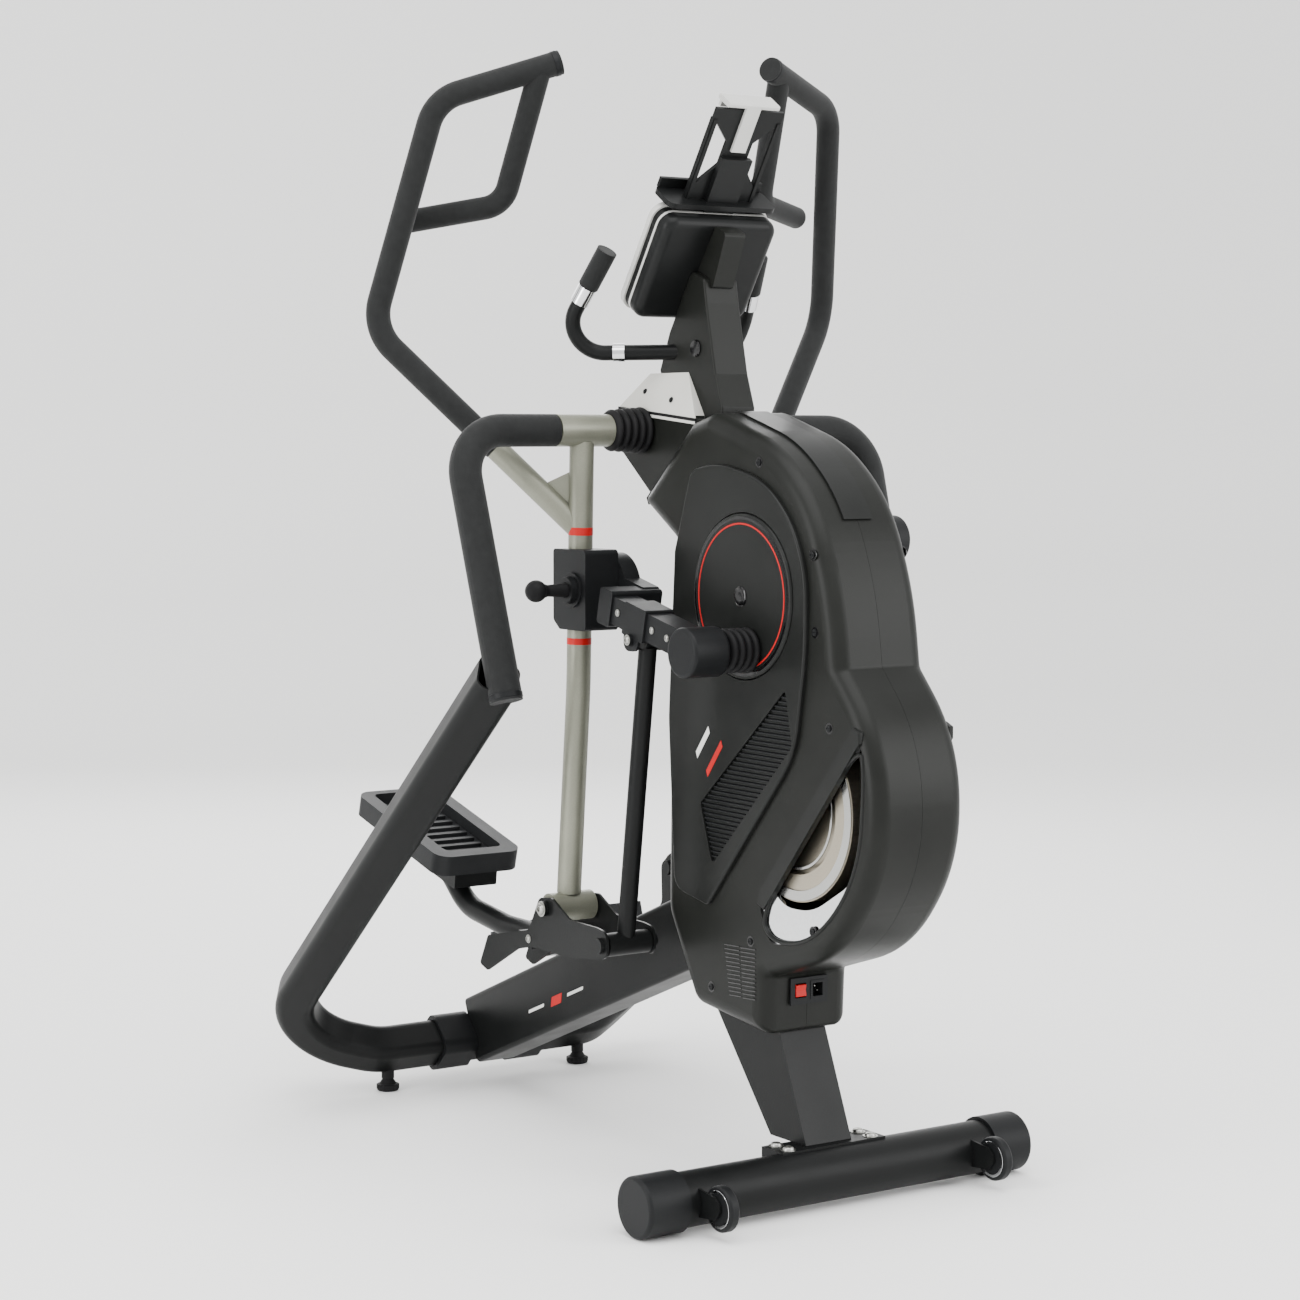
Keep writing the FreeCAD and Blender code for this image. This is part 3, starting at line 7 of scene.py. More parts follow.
# %% Load the frame
import bpy
import json
import math
import numpy as np
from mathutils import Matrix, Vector


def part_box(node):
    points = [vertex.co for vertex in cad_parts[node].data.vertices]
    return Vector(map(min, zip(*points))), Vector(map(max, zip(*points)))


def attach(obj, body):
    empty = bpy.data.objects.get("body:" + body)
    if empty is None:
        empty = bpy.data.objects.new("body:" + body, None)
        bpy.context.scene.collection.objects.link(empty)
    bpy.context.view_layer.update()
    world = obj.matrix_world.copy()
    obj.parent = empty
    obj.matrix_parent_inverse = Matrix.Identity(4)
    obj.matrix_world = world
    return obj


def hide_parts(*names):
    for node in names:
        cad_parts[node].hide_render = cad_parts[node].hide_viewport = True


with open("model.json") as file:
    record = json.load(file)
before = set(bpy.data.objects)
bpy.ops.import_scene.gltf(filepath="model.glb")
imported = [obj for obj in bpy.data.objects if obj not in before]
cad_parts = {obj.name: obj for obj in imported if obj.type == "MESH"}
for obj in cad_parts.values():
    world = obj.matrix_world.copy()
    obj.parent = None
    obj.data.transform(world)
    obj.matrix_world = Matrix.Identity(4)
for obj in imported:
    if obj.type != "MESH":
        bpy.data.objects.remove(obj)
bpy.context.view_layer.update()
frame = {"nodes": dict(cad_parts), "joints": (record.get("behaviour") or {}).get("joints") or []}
nodes = frame["nodes"]

# %% [markdown]
# ## Camera, floor and light
# A long lens from shoulder height, looking at the front corner, keeps the uprights parallel. The object is
# nearly all black, so it reads by its highlights: wide soft lamps on both sides draw a bright line along
# each tube.

# %% Camera
ORIGIN = 0.0753


def at(x, y, z):
    """Workshop drawing millimetres to metres in the frame: y is moved by the drawing's own zero."""
    return np.array([x / 1000.0, y / 1000.0 - ORIGIN, z / 1000.0])


camera_data = bpy.data.cameras.new("camera")
camera_data.sensor_width = 36.0
camera_data.lens = 36.0 * 2850.0 / 1300.0
camera = bpy.data.objects.new("camera", camera_data)
bpy.context.scene.collection.objects.link(camera)
camera.location = Vector(at(2529.0, 3827.0, 1130.0))
turn, dip = math.radians(33.9), math.radians(4.315)
look = Vector((-math.sin(turn) * math.cos(dip), -math.cos(turn) * math.cos(dip), -math.sin(dip)))
camera.rotation_euler = look.to_track_quat("-Z", "Y").to_euler()
bpy.context.scene.camera = camera
print("lens", round(camera_data.lens, 2))

# %% [markdown]
# ## Colours and a node helper
# Colours are chosen as they look on a screen, so one function turns a hex code to the linear light that
# shaders mix. A second adds a node with its settings and links, which keeps each material to a few readable
# lines.

# %% Colours and node helper


def srgb(code):
    """Hex sRGB to linear: each channel c is c/12.92 below 0.04045, else ((c + 0.055) / 1.055) to the
    power 2.4."""
    parts = [int(code[i:i + 2], 16) / 255.0 for i in (1, 3, 5)]
    linear = [c / 12.92 if c <= 0.04045 else ((c + 0.055) / 1.055) ** 2.4 for c in parts]
    return (*linear, 1.0)


def add(tree, kind, inputs=None, **settings):
    """Adds a node; settings are its properties, and inputs hold values or sockets to link."""
    made = tree.nodes.new(kind)
    for name, value in settings.items():
        setattr(made, name, value)
    for name, value in (inputs or {}).items():
        if isinstance(value, bpy.types.NodeSocket):
            tree.links.new(value, made.inputs[name])
        else:
            made.inputs[name].default_value = value
    return made


def blank(name):
    """An empty material with its output node; returns the material and its tree."""
    made = bpy.data.materials.new(name)
    made.use_nodes = True
    made.node_tree.nodes.clear()
    return made, made.node_tree


# %% [markdown]
# ## Finishes
# Each real surface is one of a few kinds: steel with a baked coat, steel with metallic paint, moulded
# plastic with a fine spark-eroded grain, closed-cell foam, moulded rubber, and bare or plated metal. Each
# kind is one recipe, and every pattern in it is sized from millimetres on the real thing.

# %% Coated and painted steel


def coated_steel(name, low, high, metallic, rough, peel_mm, flake=0.0, shine=0.12):
    """Baked coat: the sprayed film dries in soft swells (orange peel) about peel_mm wide, and gathers
    faint dust."""
    made, tree = blank(name)
    place = add(tree, "ShaderNodeTexCoord").outputs["Object"]
    cloud = add(tree, "ShaderNodeTexNoise", {"Vector": place, "Scale": 1000 / 60.0, "Detail": 4.0})
    speck = add(tree, "ShaderNodeTexNoise", {"Vector": place, "Scale": 1000 / 1.4, "Detail": 2.0})
    mixed = add(tree, "ShaderNodeMath", {0: cloud.outputs["Fac"], 1: speck.outputs["Fac"], 2: flake},
                operation="MULTIPLY_ADD")
    tint = add(tree, "ShaderNodeMix", {"Factor": mixed.outputs[0]}, data_type="RGBA")
    tint.inputs["A"].default_value = srgb(low)
    tint.inputs["B"].default_value = srgb(high)
    wear = add(tree, "ShaderNodeMapRange", {"Value": cloud.outputs["Fac"], "To Min": rough - 0.07,
                                            "To Max": rough + 0.09})
    peel = add(tree, "ShaderNodeTexNoise", {"Vector": place, "Scale": 1000 / peel_mm, "Detail": 3.0})
    bump = add(tree, "ShaderNodeBump", {"Height": peel.outputs["Fac"], "Strength": 0.35, "Distance": 0.00035})
    shader = add(tree, "ShaderNodeBsdfPrincipled", {"Base Color": tint.outputs["Result"],
                                                    "Metallic": metallic,
                                                    "Roughness": wear.outputs["Result"],
                                                    "Specular IOR Level": shine,
                                                    "Normal": bump.outputs["Normal"]})
    add(tree, "ShaderNodeOutputMaterial", {"Surface": shader.outputs["BSDF"]})
    return made


frame_coat = coated_steel("black_powder_coated_steel", "#0b0c0c", "#191a1a", 0.0, 0.40, 2.2)
post_coat = coated_steel("satin_black_stoved_steel", "#0e0f0f", "#1d1e1e", 0.0, 0.34, 2.8)
arm_paint = coated_steel("champagne_metallic_painted_steel", "#67685b", "#8f9082", 0.45, 0.40, 1.6, 0.12, 0.5)
print("steel coats ready")

# %% [markdown]
# Covers, caps and treads are moulded in ABS, nylon or polypropylene. The mould's spark-eroded grain breaks
# the highlight into a soft band, so the grain is a bump of small pits and the gloss drifts slowly over the
# part.

# %% Moulded plastics


def moulded(name, low, high, rough, grain_mm, depth_mm, shine=0.13):
    """Plastic from a spark-eroded mould: closed pits grain_mm apart and depth_mm deep, with a cloudier
    gloss."""
    made, tree = blank(name)
    place = add(tree, "ShaderNodeTexCoord").outputs["Object"]
    cloud = add(tree, "ShaderNodeTexNoise", {"Vector": place, "Scale": 1000 / 90.0, "Detail": 5.0})
    tint = add(tree, "ShaderNodeMix", {"Factor": cloud.outputs["Fac"]}, data_type="RGBA")
    tint.inputs["A"].default_value = srgb(low)
    tint.inputs["B"].default_value = srgb(high)
    gloss = add(tree, "ShaderNodeMapRange", {"Value": cloud.outputs["Fac"], "To Min": rough - 0.06,
                                             "To Max": rough + 0.08})
    pits = add(tree, "ShaderNodeTexVoronoi", {"Vector": place, "Scale": 1000 / grain_mm})
    bump = add(tree, "ShaderNodeBump", {"Height": pits.outputs["Distance"], "Strength": 0.5,
                                        "Distance": depth_mm / 1000})
    shader = add(tree, "ShaderNodeBsdfPrincipled", {"Base Color": tint.outputs["Result"],
                                                    "Specular IOR Level": shine,
                                                    "Roughness": gloss.outputs["Result"],
                                                    "Normal": bump.outputs["Normal"]})
    add(tree, "ShaderNodeOutputMaterial", {"Surface": shader.outputs["BSDF"]})
    return made


cover_abs = moulded("grained_black_abs", "#0f100e", "#1b1c1a", 0.36, 1.3, 0.16)
panel_abs = moulded("satin_black_abs", "#121312", "#1e1f1e", 0.30, 1.0, 0.07)
nylon = moulded("black_glass_filled_nylon", "#0d0e0f", "#191a1b", 0.44, 1.5, 0.20)
tread_pp = moulded("charcoal_polypropylene_tread", "#161718", "#252627", 0.48, 1.8, 0.25)
console_abs = moulded("console_black_abs", "#0c0d0d", "#171818", 0.36, 1.1, 0.10)
rubber = moulded("moulded_epdm_rubber", "#0a0a0b", "#141415", 0.60, 1.2, 0.12, 0.15)
# Polished black for the screen and caps; the same near-black also paints shade: the disc shadow rings, the
# rings round the cover screws and the lower louvre slots.
gloss_black_and_painted_shade = moulded("polished_black_abs_and_painted_shade", "#060607", "#0c0c0d", 0.14, 3.0, 0.01, 0.4)
silver_abs = moulded("silver_sprayed_abs", "#a9a9a6", "#c4c4c0", 0.30, 0.9, 0.03, 0.5)
red_abs = moulded("red_printed_lacquer", "#9c1518", "#c0201f", 0.38, 1.4, 0.03)
hip_grey = moulded("light_grey_sprayed_abs", "#b5b4ae", "#cac9c3", 0.38, 1.1, 0.06)
white_ink = moulded("white_printed_lacquer", "#cfcfca", "#e6e6e2", 0.45, 1.4, 0.03)
green_key = moulded("green_silicone_key", "#1f7a3c", "#2a9450", 0.45, 1.2, 0.05)
print("plastics ready")

# %% [markdown]
# Grip foam is blown rubber: its skin has tiny open pores and a soft sheen, so it looks dry and slightly
# grey beside the glossy covers. A pore is under half a millimetre; it is drawn at about one so that it
# shows.

# %% Foam, bare metal and glass


def grip_foam():
    """Nitrile foam: voronoi cells 1.1 mm apart for pores, noise 12 mm wide for the ground skin's
    unevenness."""
    made, tree = blank("nitrile_grip_foam")
    place = add(tree, "ShaderNodeTexCoord").outputs["Object"]
    pores = add(tree, "ShaderNodeTexVoronoi", {"Vector": place, "Scale": 1000 / 1.1})
    skin = add(tree, "ShaderNodeTexNoise", {"Vector": place, "Scale": 1000 / 12.0, "Detail": 6.0})
    tint = add(tree, "ShaderNodeMix", {"Factor": skin.outputs["Fac"]}, data_type="RGBA")
    tint.inputs["A"].default_value = srgb("#0d0e0e")
    tint.inputs["B"].default_value = srgb("#1b1c1c")
    fine = add(tree, "ShaderNodeBump", {"Height": pores.outputs["Distance"], "Strength": 0.6,
                                             "Distance": 0.0004})
    soft = add(tree, "ShaderNodeBump", {"Height": skin.outputs["Fac"], "Strength": 0.3, "Distance": 0.0012,
                                        "Normal": fine.outputs["Normal"]})
    shader = add(tree, "ShaderNodeBsdfPrincipled", {"Base Color": tint.outputs["Result"], "Roughness": 0.72,
                                                    "Specular IOR Level": 0.15,
                                                    "Sheen Weight": 0.08, "Sheen Roughness": 0.5,
                                                    "Normal": soft.outputs["Normal"]})
    add(tree, "ShaderNodeOutputMaterial", {"Surface": shader.outputs["BSDF"]})
    return made


def bare_metal(name, low, high, rough, line_mm, stretch):
    """Cut or plated metal: noise squeezed by stretch across the tool's path leaves lines about line_mm
    apart."""
    made, tree = blank(name)
    place = add(tree, "ShaderNodeTexCoord").outputs["Object"]
    path = add(tree, "ShaderNodeMapping", {"Vector": place, "Scale": stretch})
    lines = add(tree, "ShaderNodeTexNoise", {"Vector": path.outputs["Vector"], "Scale": 1000 / line_mm,
                                             "Detail": 3.0})
    tint = add(tree, "ShaderNodeMix", {"Factor": lines.outputs["Fac"]}, data_type="RGBA")
    tint.inputs["A"].default_value = srgb(low)
    tint.inputs["B"].default_value = srgb(high)
    gloss = add(tree, "ShaderNodeMapRange", {"Value": lines.outputs["Fac"], "To Min": rough * 0.7,
                                             "To Max": rough * 1.4})
    bump = add(tree, "ShaderNodeBump", {"Height": lines.outputs["Fac"], "Strength": 0.2, "Distance": 0.0001})
    shader = add(tree, "ShaderNodeBsdfPrincipled", {"Base Color": tint.outputs["Result"], "Metallic": 1.0,
                                                    "Roughness": gloss.outputs["Result"],
                                                    "Normal": bump.outputs["Normal"]})
    add(tree, "ShaderNodeOutputMaterial", {"Surface": shader.outputs["BSDF"]})
    return made


foam = grip_foam()
zinc = bare_metal("zinc_plated_steel", "#8c8c88", "#b9b9b4", 0.32, 1.5, (1, 1, 1))
turned = bare_metal("turned_bright_steel", "#8f8f8d", "#c2c2bf", 0.22, 1.2, (8, 1, 1))
chrome = bare_metal("chrome_plate", "#c9cacc", "#dedfe0", 0.08, 6.0, (1, 1, 1))
satin_disc = bare_metal("satin_nickel_flywheel", "#8f887a", "#b8b0a0", 0.34, 2.0, (0.2, 1, 1))
print("foam and metals ready")

# %% [markdown]
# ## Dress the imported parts
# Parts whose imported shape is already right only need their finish. Each one is matched to its material by
# name.

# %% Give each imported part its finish
FINISH = {
    frame_coat: ["rear_frame_tube", "front_stabilizer", "handrail_tubes", "mast", "pulse_bar",
                 "right_handle_tube", "left_handle_tube", "right_pedal_rod", "left_pedal_rod"],
    post_coat: ["front_post", "main_beam", "right_pedal_arm", "left_pedal_arm"],
    arm_paint: ["right_swing_arm", "left_swing_arm"],
    cover_abs: ["right_cover", "left_cover", "pivot_housing", "console_neck"],
    panel_abs: ["side_panels", "top_cover", "crank_discs"],
    nylon: ["stabilizer_end_caps", "rear_sleeve", "right_stride_box", "left_stride_box", "right_coupler_link",
            "left_coupler_link", "inlet_panel", "crank_pulley", "cover_screws", "transport_wheel_right",
            "transport_wheel_left"],
    tread_pp: ["right_pedal", "left_pedal"],
    console_abs: ["console_housing", "tablet_bracket"],
    rubber: ["levelling_foot_right", "levelling_foot_left", "drive_belt", "crank_pin_boots", "axle_boots",
             "right_stride_knob", "left_stride_knob"],
    foam: ["handrail_foam", "right_handle_foam", "left_handle_foam", "pulse_grips"],
    zinc: ["base_bolts", "brake_arm", "bearings", "crank_axle"],
    chrome: ["window_trims", "pulse_sensors"],
    satin_disc: ["flywheel"],
        silver_abs: ["tablet_clip", "console_face"],
    red_abs: ["stop_button", "power_switch"],
    green_key: ["start_button"],
}
dressed = 0
for material, names in FINISH.items():
    for name in names:
        mesh = nodes[name].data
        mesh.materials.clear()
        mesh.materials.append(material)
        dressed += 1
listed = {name for names in FINISH.values() for name in names}
print("dressed", dressed, "of", len(nodes), "missing", sorted(set(nodes) - listed))

# %% [markdown]
# ## One way to build a surface
# Nearly every added piece is a stack of rings: a turned part is circles of changing size, a bar is one
# outline repeated along a path, and a hoop is a stack whose last ring joins the first. One function joins
# such a stack.

# %% Stack of rings


def stack(rings, closed=False):
    """rings has shape (k, m, 3). Point j of ring i joins j+1 and ring i+1; open stacks get a flat cap at
    each end. The signed volume, a sum of a . (b x c) / 6 over triangles, tells whether the faces look
    inward and must flip."""
    rings = np.asarray(rings, float)
    k, m, _ = rings.shape
    index = np.arange(k * m).reshape(k, m)
    if closed:
        index = np.vstack([index, index[:1]])
    a, b = index[:-1], np.roll(index[:-1], -1, axis=1)
    c, d = np.roll(index[1:], -1, axis=1), index[1:]
    quads = np.stack([a, b, c, d], axis=-1).reshape(-1, 4)
    points = rings.reshape(-1, 3)
    p, q, r, s = (points[quads[:, i]] - points.mean(0) for i in range(4))
    volume = np.einsum("ij,ij->i", p, np.cross(q, r)).sum() + np.einsum("ij,ij->i", p, np.cross(r, s)).sum()
    faces = quads.tolist()
    if not closed:
        faces += [index[0][::-1].tolist(), index[-1].tolist()]
    if volume < 0:
        faces = [f[::-1] for f in faces]
    return points, faces


def turned_rings(profile, centre, axis=(1, 0, 0), sides=48):
    """Turned part: profile rows are (distance along the axis, radius); a ring is centre + n a + r (u cos
    t + v sin t)."""
    n = np.array(axis, float) / np.linalg.norm(axis)
    u = np.cross(n, (0.0, 0.0, 1.0) if abs(n[2]) < 0.9 else (1.0, 0.0, 0.0))
    u /= np.linalg.norm(u)
    v = np.cross(n, u)
    t = np.linspace(0, 2 * np.pi, sides, endpoint=False)
    circle = np.cos(t)[:, None] * u + np.sin(t)[:, None] * v
    profile = np.asarray(profile, float) / 1000.0
    return centre + profile[:, :1, None] * n + profile[:, 1:, None] * circle


def plate_rings(corners, x_low, x_high, ease=0.6):
    """Plate: a (y, z) outline in drawing mm between two x planes, its edges eased by shrinking the outer
    rings."""
    flat = np.asarray(corners, float)
    middle = flat.mean(0)
    inner = middle + (flat - middle) * (1 - ease / np.linalg.norm(flat - middle, axis=1).mean())
    steps = [(x_low, inner), (x_low + ease, flat), (x_high - ease, flat), (x_high, inner)]
    return np.array([[at(x, y, z) for y, z in ring] for x, ring in steps])


def piece(name, stacks, material, body, smooth=True, stands_for=()):
    """Joins several (points, faces) stacks into one object at the origin and lets it ride on its body."""
    points, faces, start = [], [], 0
    for p, f in stacks:
        points.append(p)
        faces += [[i + start for i in face] for face in f]
        start += len(p)
    mesh = bpy.data.meshes.new(name)
    mesh.from_pydata(np.vstack(points).tolist(), [], faces)
    mesh.materials.append(material)
    mesh.validate()
    if smooth:
        mesh.polygons.foreach_set("use_smooth", [True] * len(mesh.polygons))
        mesh.set_sharp_from_angle(angle=math.radians(38))
    made = bpy.data.objects.new(name, mesh)
    bpy.context.scene.collection.objects.link(made)
    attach(made, body)
    if stands_for:
        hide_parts(*stands_for)
    print(name, "faces", len(faces))
    return made


def both(x_profile, centre, sides=48):
    """The same turned part on the right and, mirrored, on the left."""
    flipped = centre * np.array([-1, 1, 1])
    return [stack(turned_rings(x_profile, centre, (1, 0, 0), sides)),
            stack(turned_rings(x_profile, flipped, (-1, 0, 0), sides))]


# %% [markdown]
# ## Rubber bellows
# The pivots that swing are wrapped in ribbed rubber sleeves. A bellows is a turned part whose radius rises
# and falls like a rounded wave, and the wave is flattened at the top because each rib is a rolled bead.

# %% Bellows on the axle and on the crank pins


def bellows(start, end, r_low, r_high, ribs, taper=0.0):
    """Radius = low + (high - low) * |sin|^0.6 of ribs half waves, less taper mm along the length."""
    u = np.linspace(0, 1, ribs * 10 + 1)
    wave = np.abs(np.sin(np.pi * ribs * u)) ** 0.6
    return np.stack([start + (end - start) * u, r_low + (r_high - r_low) * wave - taper * u], axis=1)


axle = at(0, 118.0, 1137.0)
piece("axle_bellows", both(bellows(50.4, 115.4, 29.0, 37.0, 5, 5.0), axle, 64), rubber, "frame",
      stands_for=["axle_boots"])
crank = at(0, 441.0, 894.0)
pin_angle = math.radians(-73.5)
pin_reach = np.array([0, math.cos(pin_angle), math.sin(pin_angle)]) * 0.080
right_pin, left_pin = crank + pin_reach, crank - pin_reach
boot = bellows(94.4, 145.0, 27.0, 33.0, 4)
piece("crank_pin_bellows", [stack(turned_rings(boot, right_pin, (1, 0, 0), 64)),
                            stack(turned_rings(boot, left_pin, (-1, 0, 0), 64))], rubber, "crank",
      stands_for=["crank_pin_boots"])

# %% [markdown]
# ## Crank discs
# Each disc carries a thin red ring near its rim, a painted shadow ring standing for the groove around it, and
# a small cap over the shaft.

# %% Disc rings and cap


def hoop(r_in, r_out, x_low, x_high, centre, axis=(1, 0, 0), sides=96):
    """Flat hoop: a rectangle's four corners, eased by 0.3 mm, turned about the axis and joined end to end."""
    e = 0.3
    profile = [(x_low, r_in), (x_high - e, r_in), (x_high, r_in + e), (x_high, r_out - e),
               (x_high - e, r_out), (x_low, r_out)]
    return stack(turned_rings(profile, centre, axis, sides), closed=True)


X_WAYS = ((1, 0, 0), (-1, 0, 0))
piece("disc_red_rings", [hoop(105.5, 108.0, 93.6, 94.5, crank, way) for way in X_WAYS], red_abs,
      "crank")
# Near-black hoop laid on each disc face: painted shadow of the groove, no groove is cut.
piece("disc_shadow_rings", [hoop(112.5, 117.5, 93.4, 94.2, crank, way) for way in X_WAYS], gloss_black_and_painted_shade,
      "crank")
cap = [(93.5, 15.5), (95.0, 15.2), (96.2, 13.8), (96.8, 11.0), (96.4, 6.0), (96.2, 0.4)]
piece("disc_centre_caps", both(cap, crank, 32), gloss_black_and_painted_shade, "crank")

# %% [markdown]
# ## Louvred vents
# Air for the brake comes in through a slanted field of louvres on each side panel, and a smaller field low
# down on the cover. A louvre is a thin bar with a sloping top; the field's outline cuts each bar to length,
# so the bars are worked out by scan lines: at each height, the outline's edges give the two ends.

# %% Louvres in the panel and in the lower cover


def scan(outline, levels):
    """Ends of each level line inside a convex (y, z) outline: where its edges cross that height."""
    a = np.asarray(outline, float)
    b = np.roll(a, -1, axis=0)
    low, high = np.minimum(a[:, 1], b[:, 1]), np.maximum(a[:, 1], b[:, 1])
    rows = []
    for z in levels:
        hit = (low <= z) & (z < high)
        y = a[hit, 0] + (b[hit, 0] - a[hit, 0]) * (z - a[hit, 1]) / (b[hit, 1] - a[hit, 1])
        if len(y) == 2 and abs(y[0] - y[1]) > 8:
            rows.append((z, y.min() + 1.5, y.max() - 1.5))
    return rows


def louvre(y0, y1, z, x_base, x_top, thick, slant, side):
    """Bar from y0 to y1: its cut is a wedge with a rounded nose; slant lifts its far end."""
    cut = [(x_base, -thick / 2), (x_top - 0.5, -thick / 2), (x_top, -thick / 6), (x_top, thick / 6),
           (x_base, thick / 2)]
    ends = ((y0, z), (y1, z + slant))
    return stack(np.array([[at(side * x, y, zz + dz) for x, dz in cut] for y, zz in ends]))


VENT = [(546, 764), (562, 682), (364, 488), (333, 578)]
slats = []
for side in (1, -1):
    for z, y0, y1 in scan(VENT, np.arange(494, 760, 7.0)):
        slats.append(louvre(y0, y1, z, 85.2, 88.6, 3.4, 0.0, side))
piece("panel_louvres", slats, nylon, "frame", smooth=False)
LOW_FIELD = [(384, 372), (398, 296), (466, 292), (466, 376)]
slots = []
for side in (1, -1):
    for z, y0, y1 in scan(LOW_FIELD, np.arange(296, 372, 6.2)):
        middle = (y0 + y1) / 2
        slots.append(louvre(y0, middle - 2, z, 81.0, 82.9, 2.6, 2.0, side))
        slots.append(louvre(middle + 2, y1, z + 1, 81.0, 82.9, 2.6, 2.0, side))
# The bars are real louvres, but their near-black colour, darker than the cover, is painted shade of the slots
# between them.
piece("lower_cover_louvres", slots, gloss_black_and_painted_shade, "frame", smooth=False)

# %% [markdown]
# ## Window rim
# The flywheel window has a rolled lip. Its outline is the window's polygon with every corner cut again and
# again (Chaikin's rule), which gives one smooth loop, and a small round bead is carried round it.

# %% Window lips and the bar across


def smooth_loop(corners, rounds=3):
    """Chaikin: each pass replaces a corner by points a quarter of the way along its two edges."""
    loop = np.asarray(corners, float)
    for _ in range(rounds):
        ahead = np.roll(loop, -1, axis=0)
        loop = np.stack([loop * 0.75 + ahead * 0.25, loop * 0.25 + ahead * 0.75], axis=1).reshape(-1, 2)
    return loop


def bead(loop, x, r, side, sides=10):
    """Round bead along a closed (y, z) loop: at each point the ring lies in the plane of x and the loop's
    normal."""
    ahead, behind = np.roll(loop, -1, axis=0), np.roll(loop, 1, axis=0)
    run = (ahead - behind) / np.linalg.norm(ahead - behind, axis=1)[:, None]
    normal = np.stack([run[:, 1], -run[:, 0]], axis=1)
    t = np.linspace(0, 2 * np.pi, sides, endpoint=False)
    x_ring = side * (x + r * np.cos(t))
    y_ring = loop[:, None, 0] + r * np.sin(t)[None] * normal[:, None, 0]
    z_ring = loop[:, None, 1] + r * np.sin(t)[None] * normal[:, None, 1]
    rings = np.stack([np.broadcast_to(x_ring, y_ring.shape), y_ring, z_ring], axis=-1) / 1000.0
    rings[..., 1] -= ORIGIN
    return stack(rings, closed=True)


WINDOW = [(708, 706), (720, 654), (708, 514), (612, 406), (500, 387), (475, 438)]
loop = smooth_loop(WINDOW, 3)
piece("window_lips", [bead(loop, 81.0, 3.4, s) for s in (1, -1)], panel_abs, "frame")
strap = [(712, 716), (698, 722), (478, 462), (472, 444), (488, 436), (712, 700)]
straps = [stack(plate_rings(strap, low, high, 1.5)) for low, high in ((76.0, 86.0), (-86.0, -76.0))]
piece("window_straps", straps, panel_abs, "frame")

# %% [markdown]
# ## Flywheel face
# The visible face is machined: a thick rim, a shallow web and a hub. Turning marks catch the light as
# rings.

# %% Rim, web and hub rings
fly = at(0, 545.0, 590.0)
face = [hoop(118, 133, 69.5, 72.6, fly), hoop(84, 88, 69.6, 71.2, fly), hoop(34, 44, 69.6, 73.0, fly)]
piece("flywheel_face", face, turned, "flywheel")

# %% [markdown]
# ## Plain stripes in place of printed marks
# The real machine carries printed names. Here they are replaced by plain slanted stripes in the same two
# inks, which lie less than half a millimetre proud of the surface like real film.

# %% Stripes on the panels, the beam and the arms


def stripe(y, z, length, width, lean, x_low, x_high):
    """A slanted bar: centre (y, z), given length and width, turned by lean degrees."""
    c, s = math.cos(math.radians(lean)), math.sin(math.radians(lean))
    half = [(-length / 2, -width / 2), (length / 2, -width / 2), (length / 2 + width * 0.6, width / 2),
            (-length / 2 + width * 0.6, width / 2)]
    flat = [(y + c * a - s * b, z + s * a + c * b) for a, b in half]
    return stack(plate_rings(flat, x_low, x_high, 0.1))


red_marks, white_marks = [], []
for side in (1, -1):
    lo, hi = (90.0, 90.4) if side > 0 else (-90.4, -90.0)
    red_marks.append(stripe(368, 646, 62, 9, 52, lo, hi))
    white_marks.append(stripe(338, 668, 52, 9, 52, lo, hi))
    lo, hi = (39.8, 40.3) if side > 0 else (-40.3, -39.8)
    red_marks.append(stripe(-161, 189, 34, 15, 22, lo, hi))
    white_marks.append(stripe(-222, 165, 52, 5, 22, lo, hi))
    white_marks.append(stripe(-100, 214, 52, 5, 22, lo, hi))
piece("red_stripes", red_marks, red_abs, "frame", smooth=False)
piece("white_stripes", white_marks, white_ink, "frame", smooth=False)

# %% [markdown]
# ## Bolts and screws
# A cap bolt has a domed head, a washer under it and a socket in the middle. One profile serves them all;
# only the radius and the place change.

# %% Bolt maker and the bolts of the arms, links and covers


def bolt(place, r, axis, rise=0.55):
    """Washer, then a head whose radius falls as a quarter ellipse, then a socket sunk into the top."""
    t = np.linspace(0, 1, 6)
    dome = np.stack([0.9 + r * rise * np.sin(t * np.pi / 2) * 0.9, r * np.cos(t * np.pi / 2 * 0.66)], axis=1)
    profile = np.vstack([[(0.0, r * 1.35), (0.8, r * 1.35), (0.9, r * 1.02)], dome,
                         [(dome[-1, 0] - 0.1, r * 0.42), (dome[-1, 0] - r * 0.3, r * 0.38),
                          (dome[-1, 0] - r * 0.3, r * 0.05)]])
    return stack(turned_rings(profile, place, axis, 24))


def far_turn(point, old, new, degrees):
    """A right-hand point as it sits on the left: mirrored in x and turned about its own pivot into the
    rest pose."""
    c, s = math.cos(math.radians(degrees)), math.sin(math.radians(degrees))
    y, z = point[1] - old[0], point[2] - old[1]
    return at(-point[0], new[0] + c * y - s * z, new[1] + s * y + c * z)


AXLE, BOX, TEE = (118.0, 1137.0), (138.0, 893.0), (80.0, 393.0)
PIVOT = {joint["name"]: joint["pos_m"] for joint in frame["joints"] if joint.get("pos_m")}


def drawing_pivot(name):
    """A joint's (y, z) in drawing millimetres: the frame's metres with the origin's shift undone."""
    _, y, z = PIVOT[name]
    return (y + ORIGIN) * 1000, z * 1000


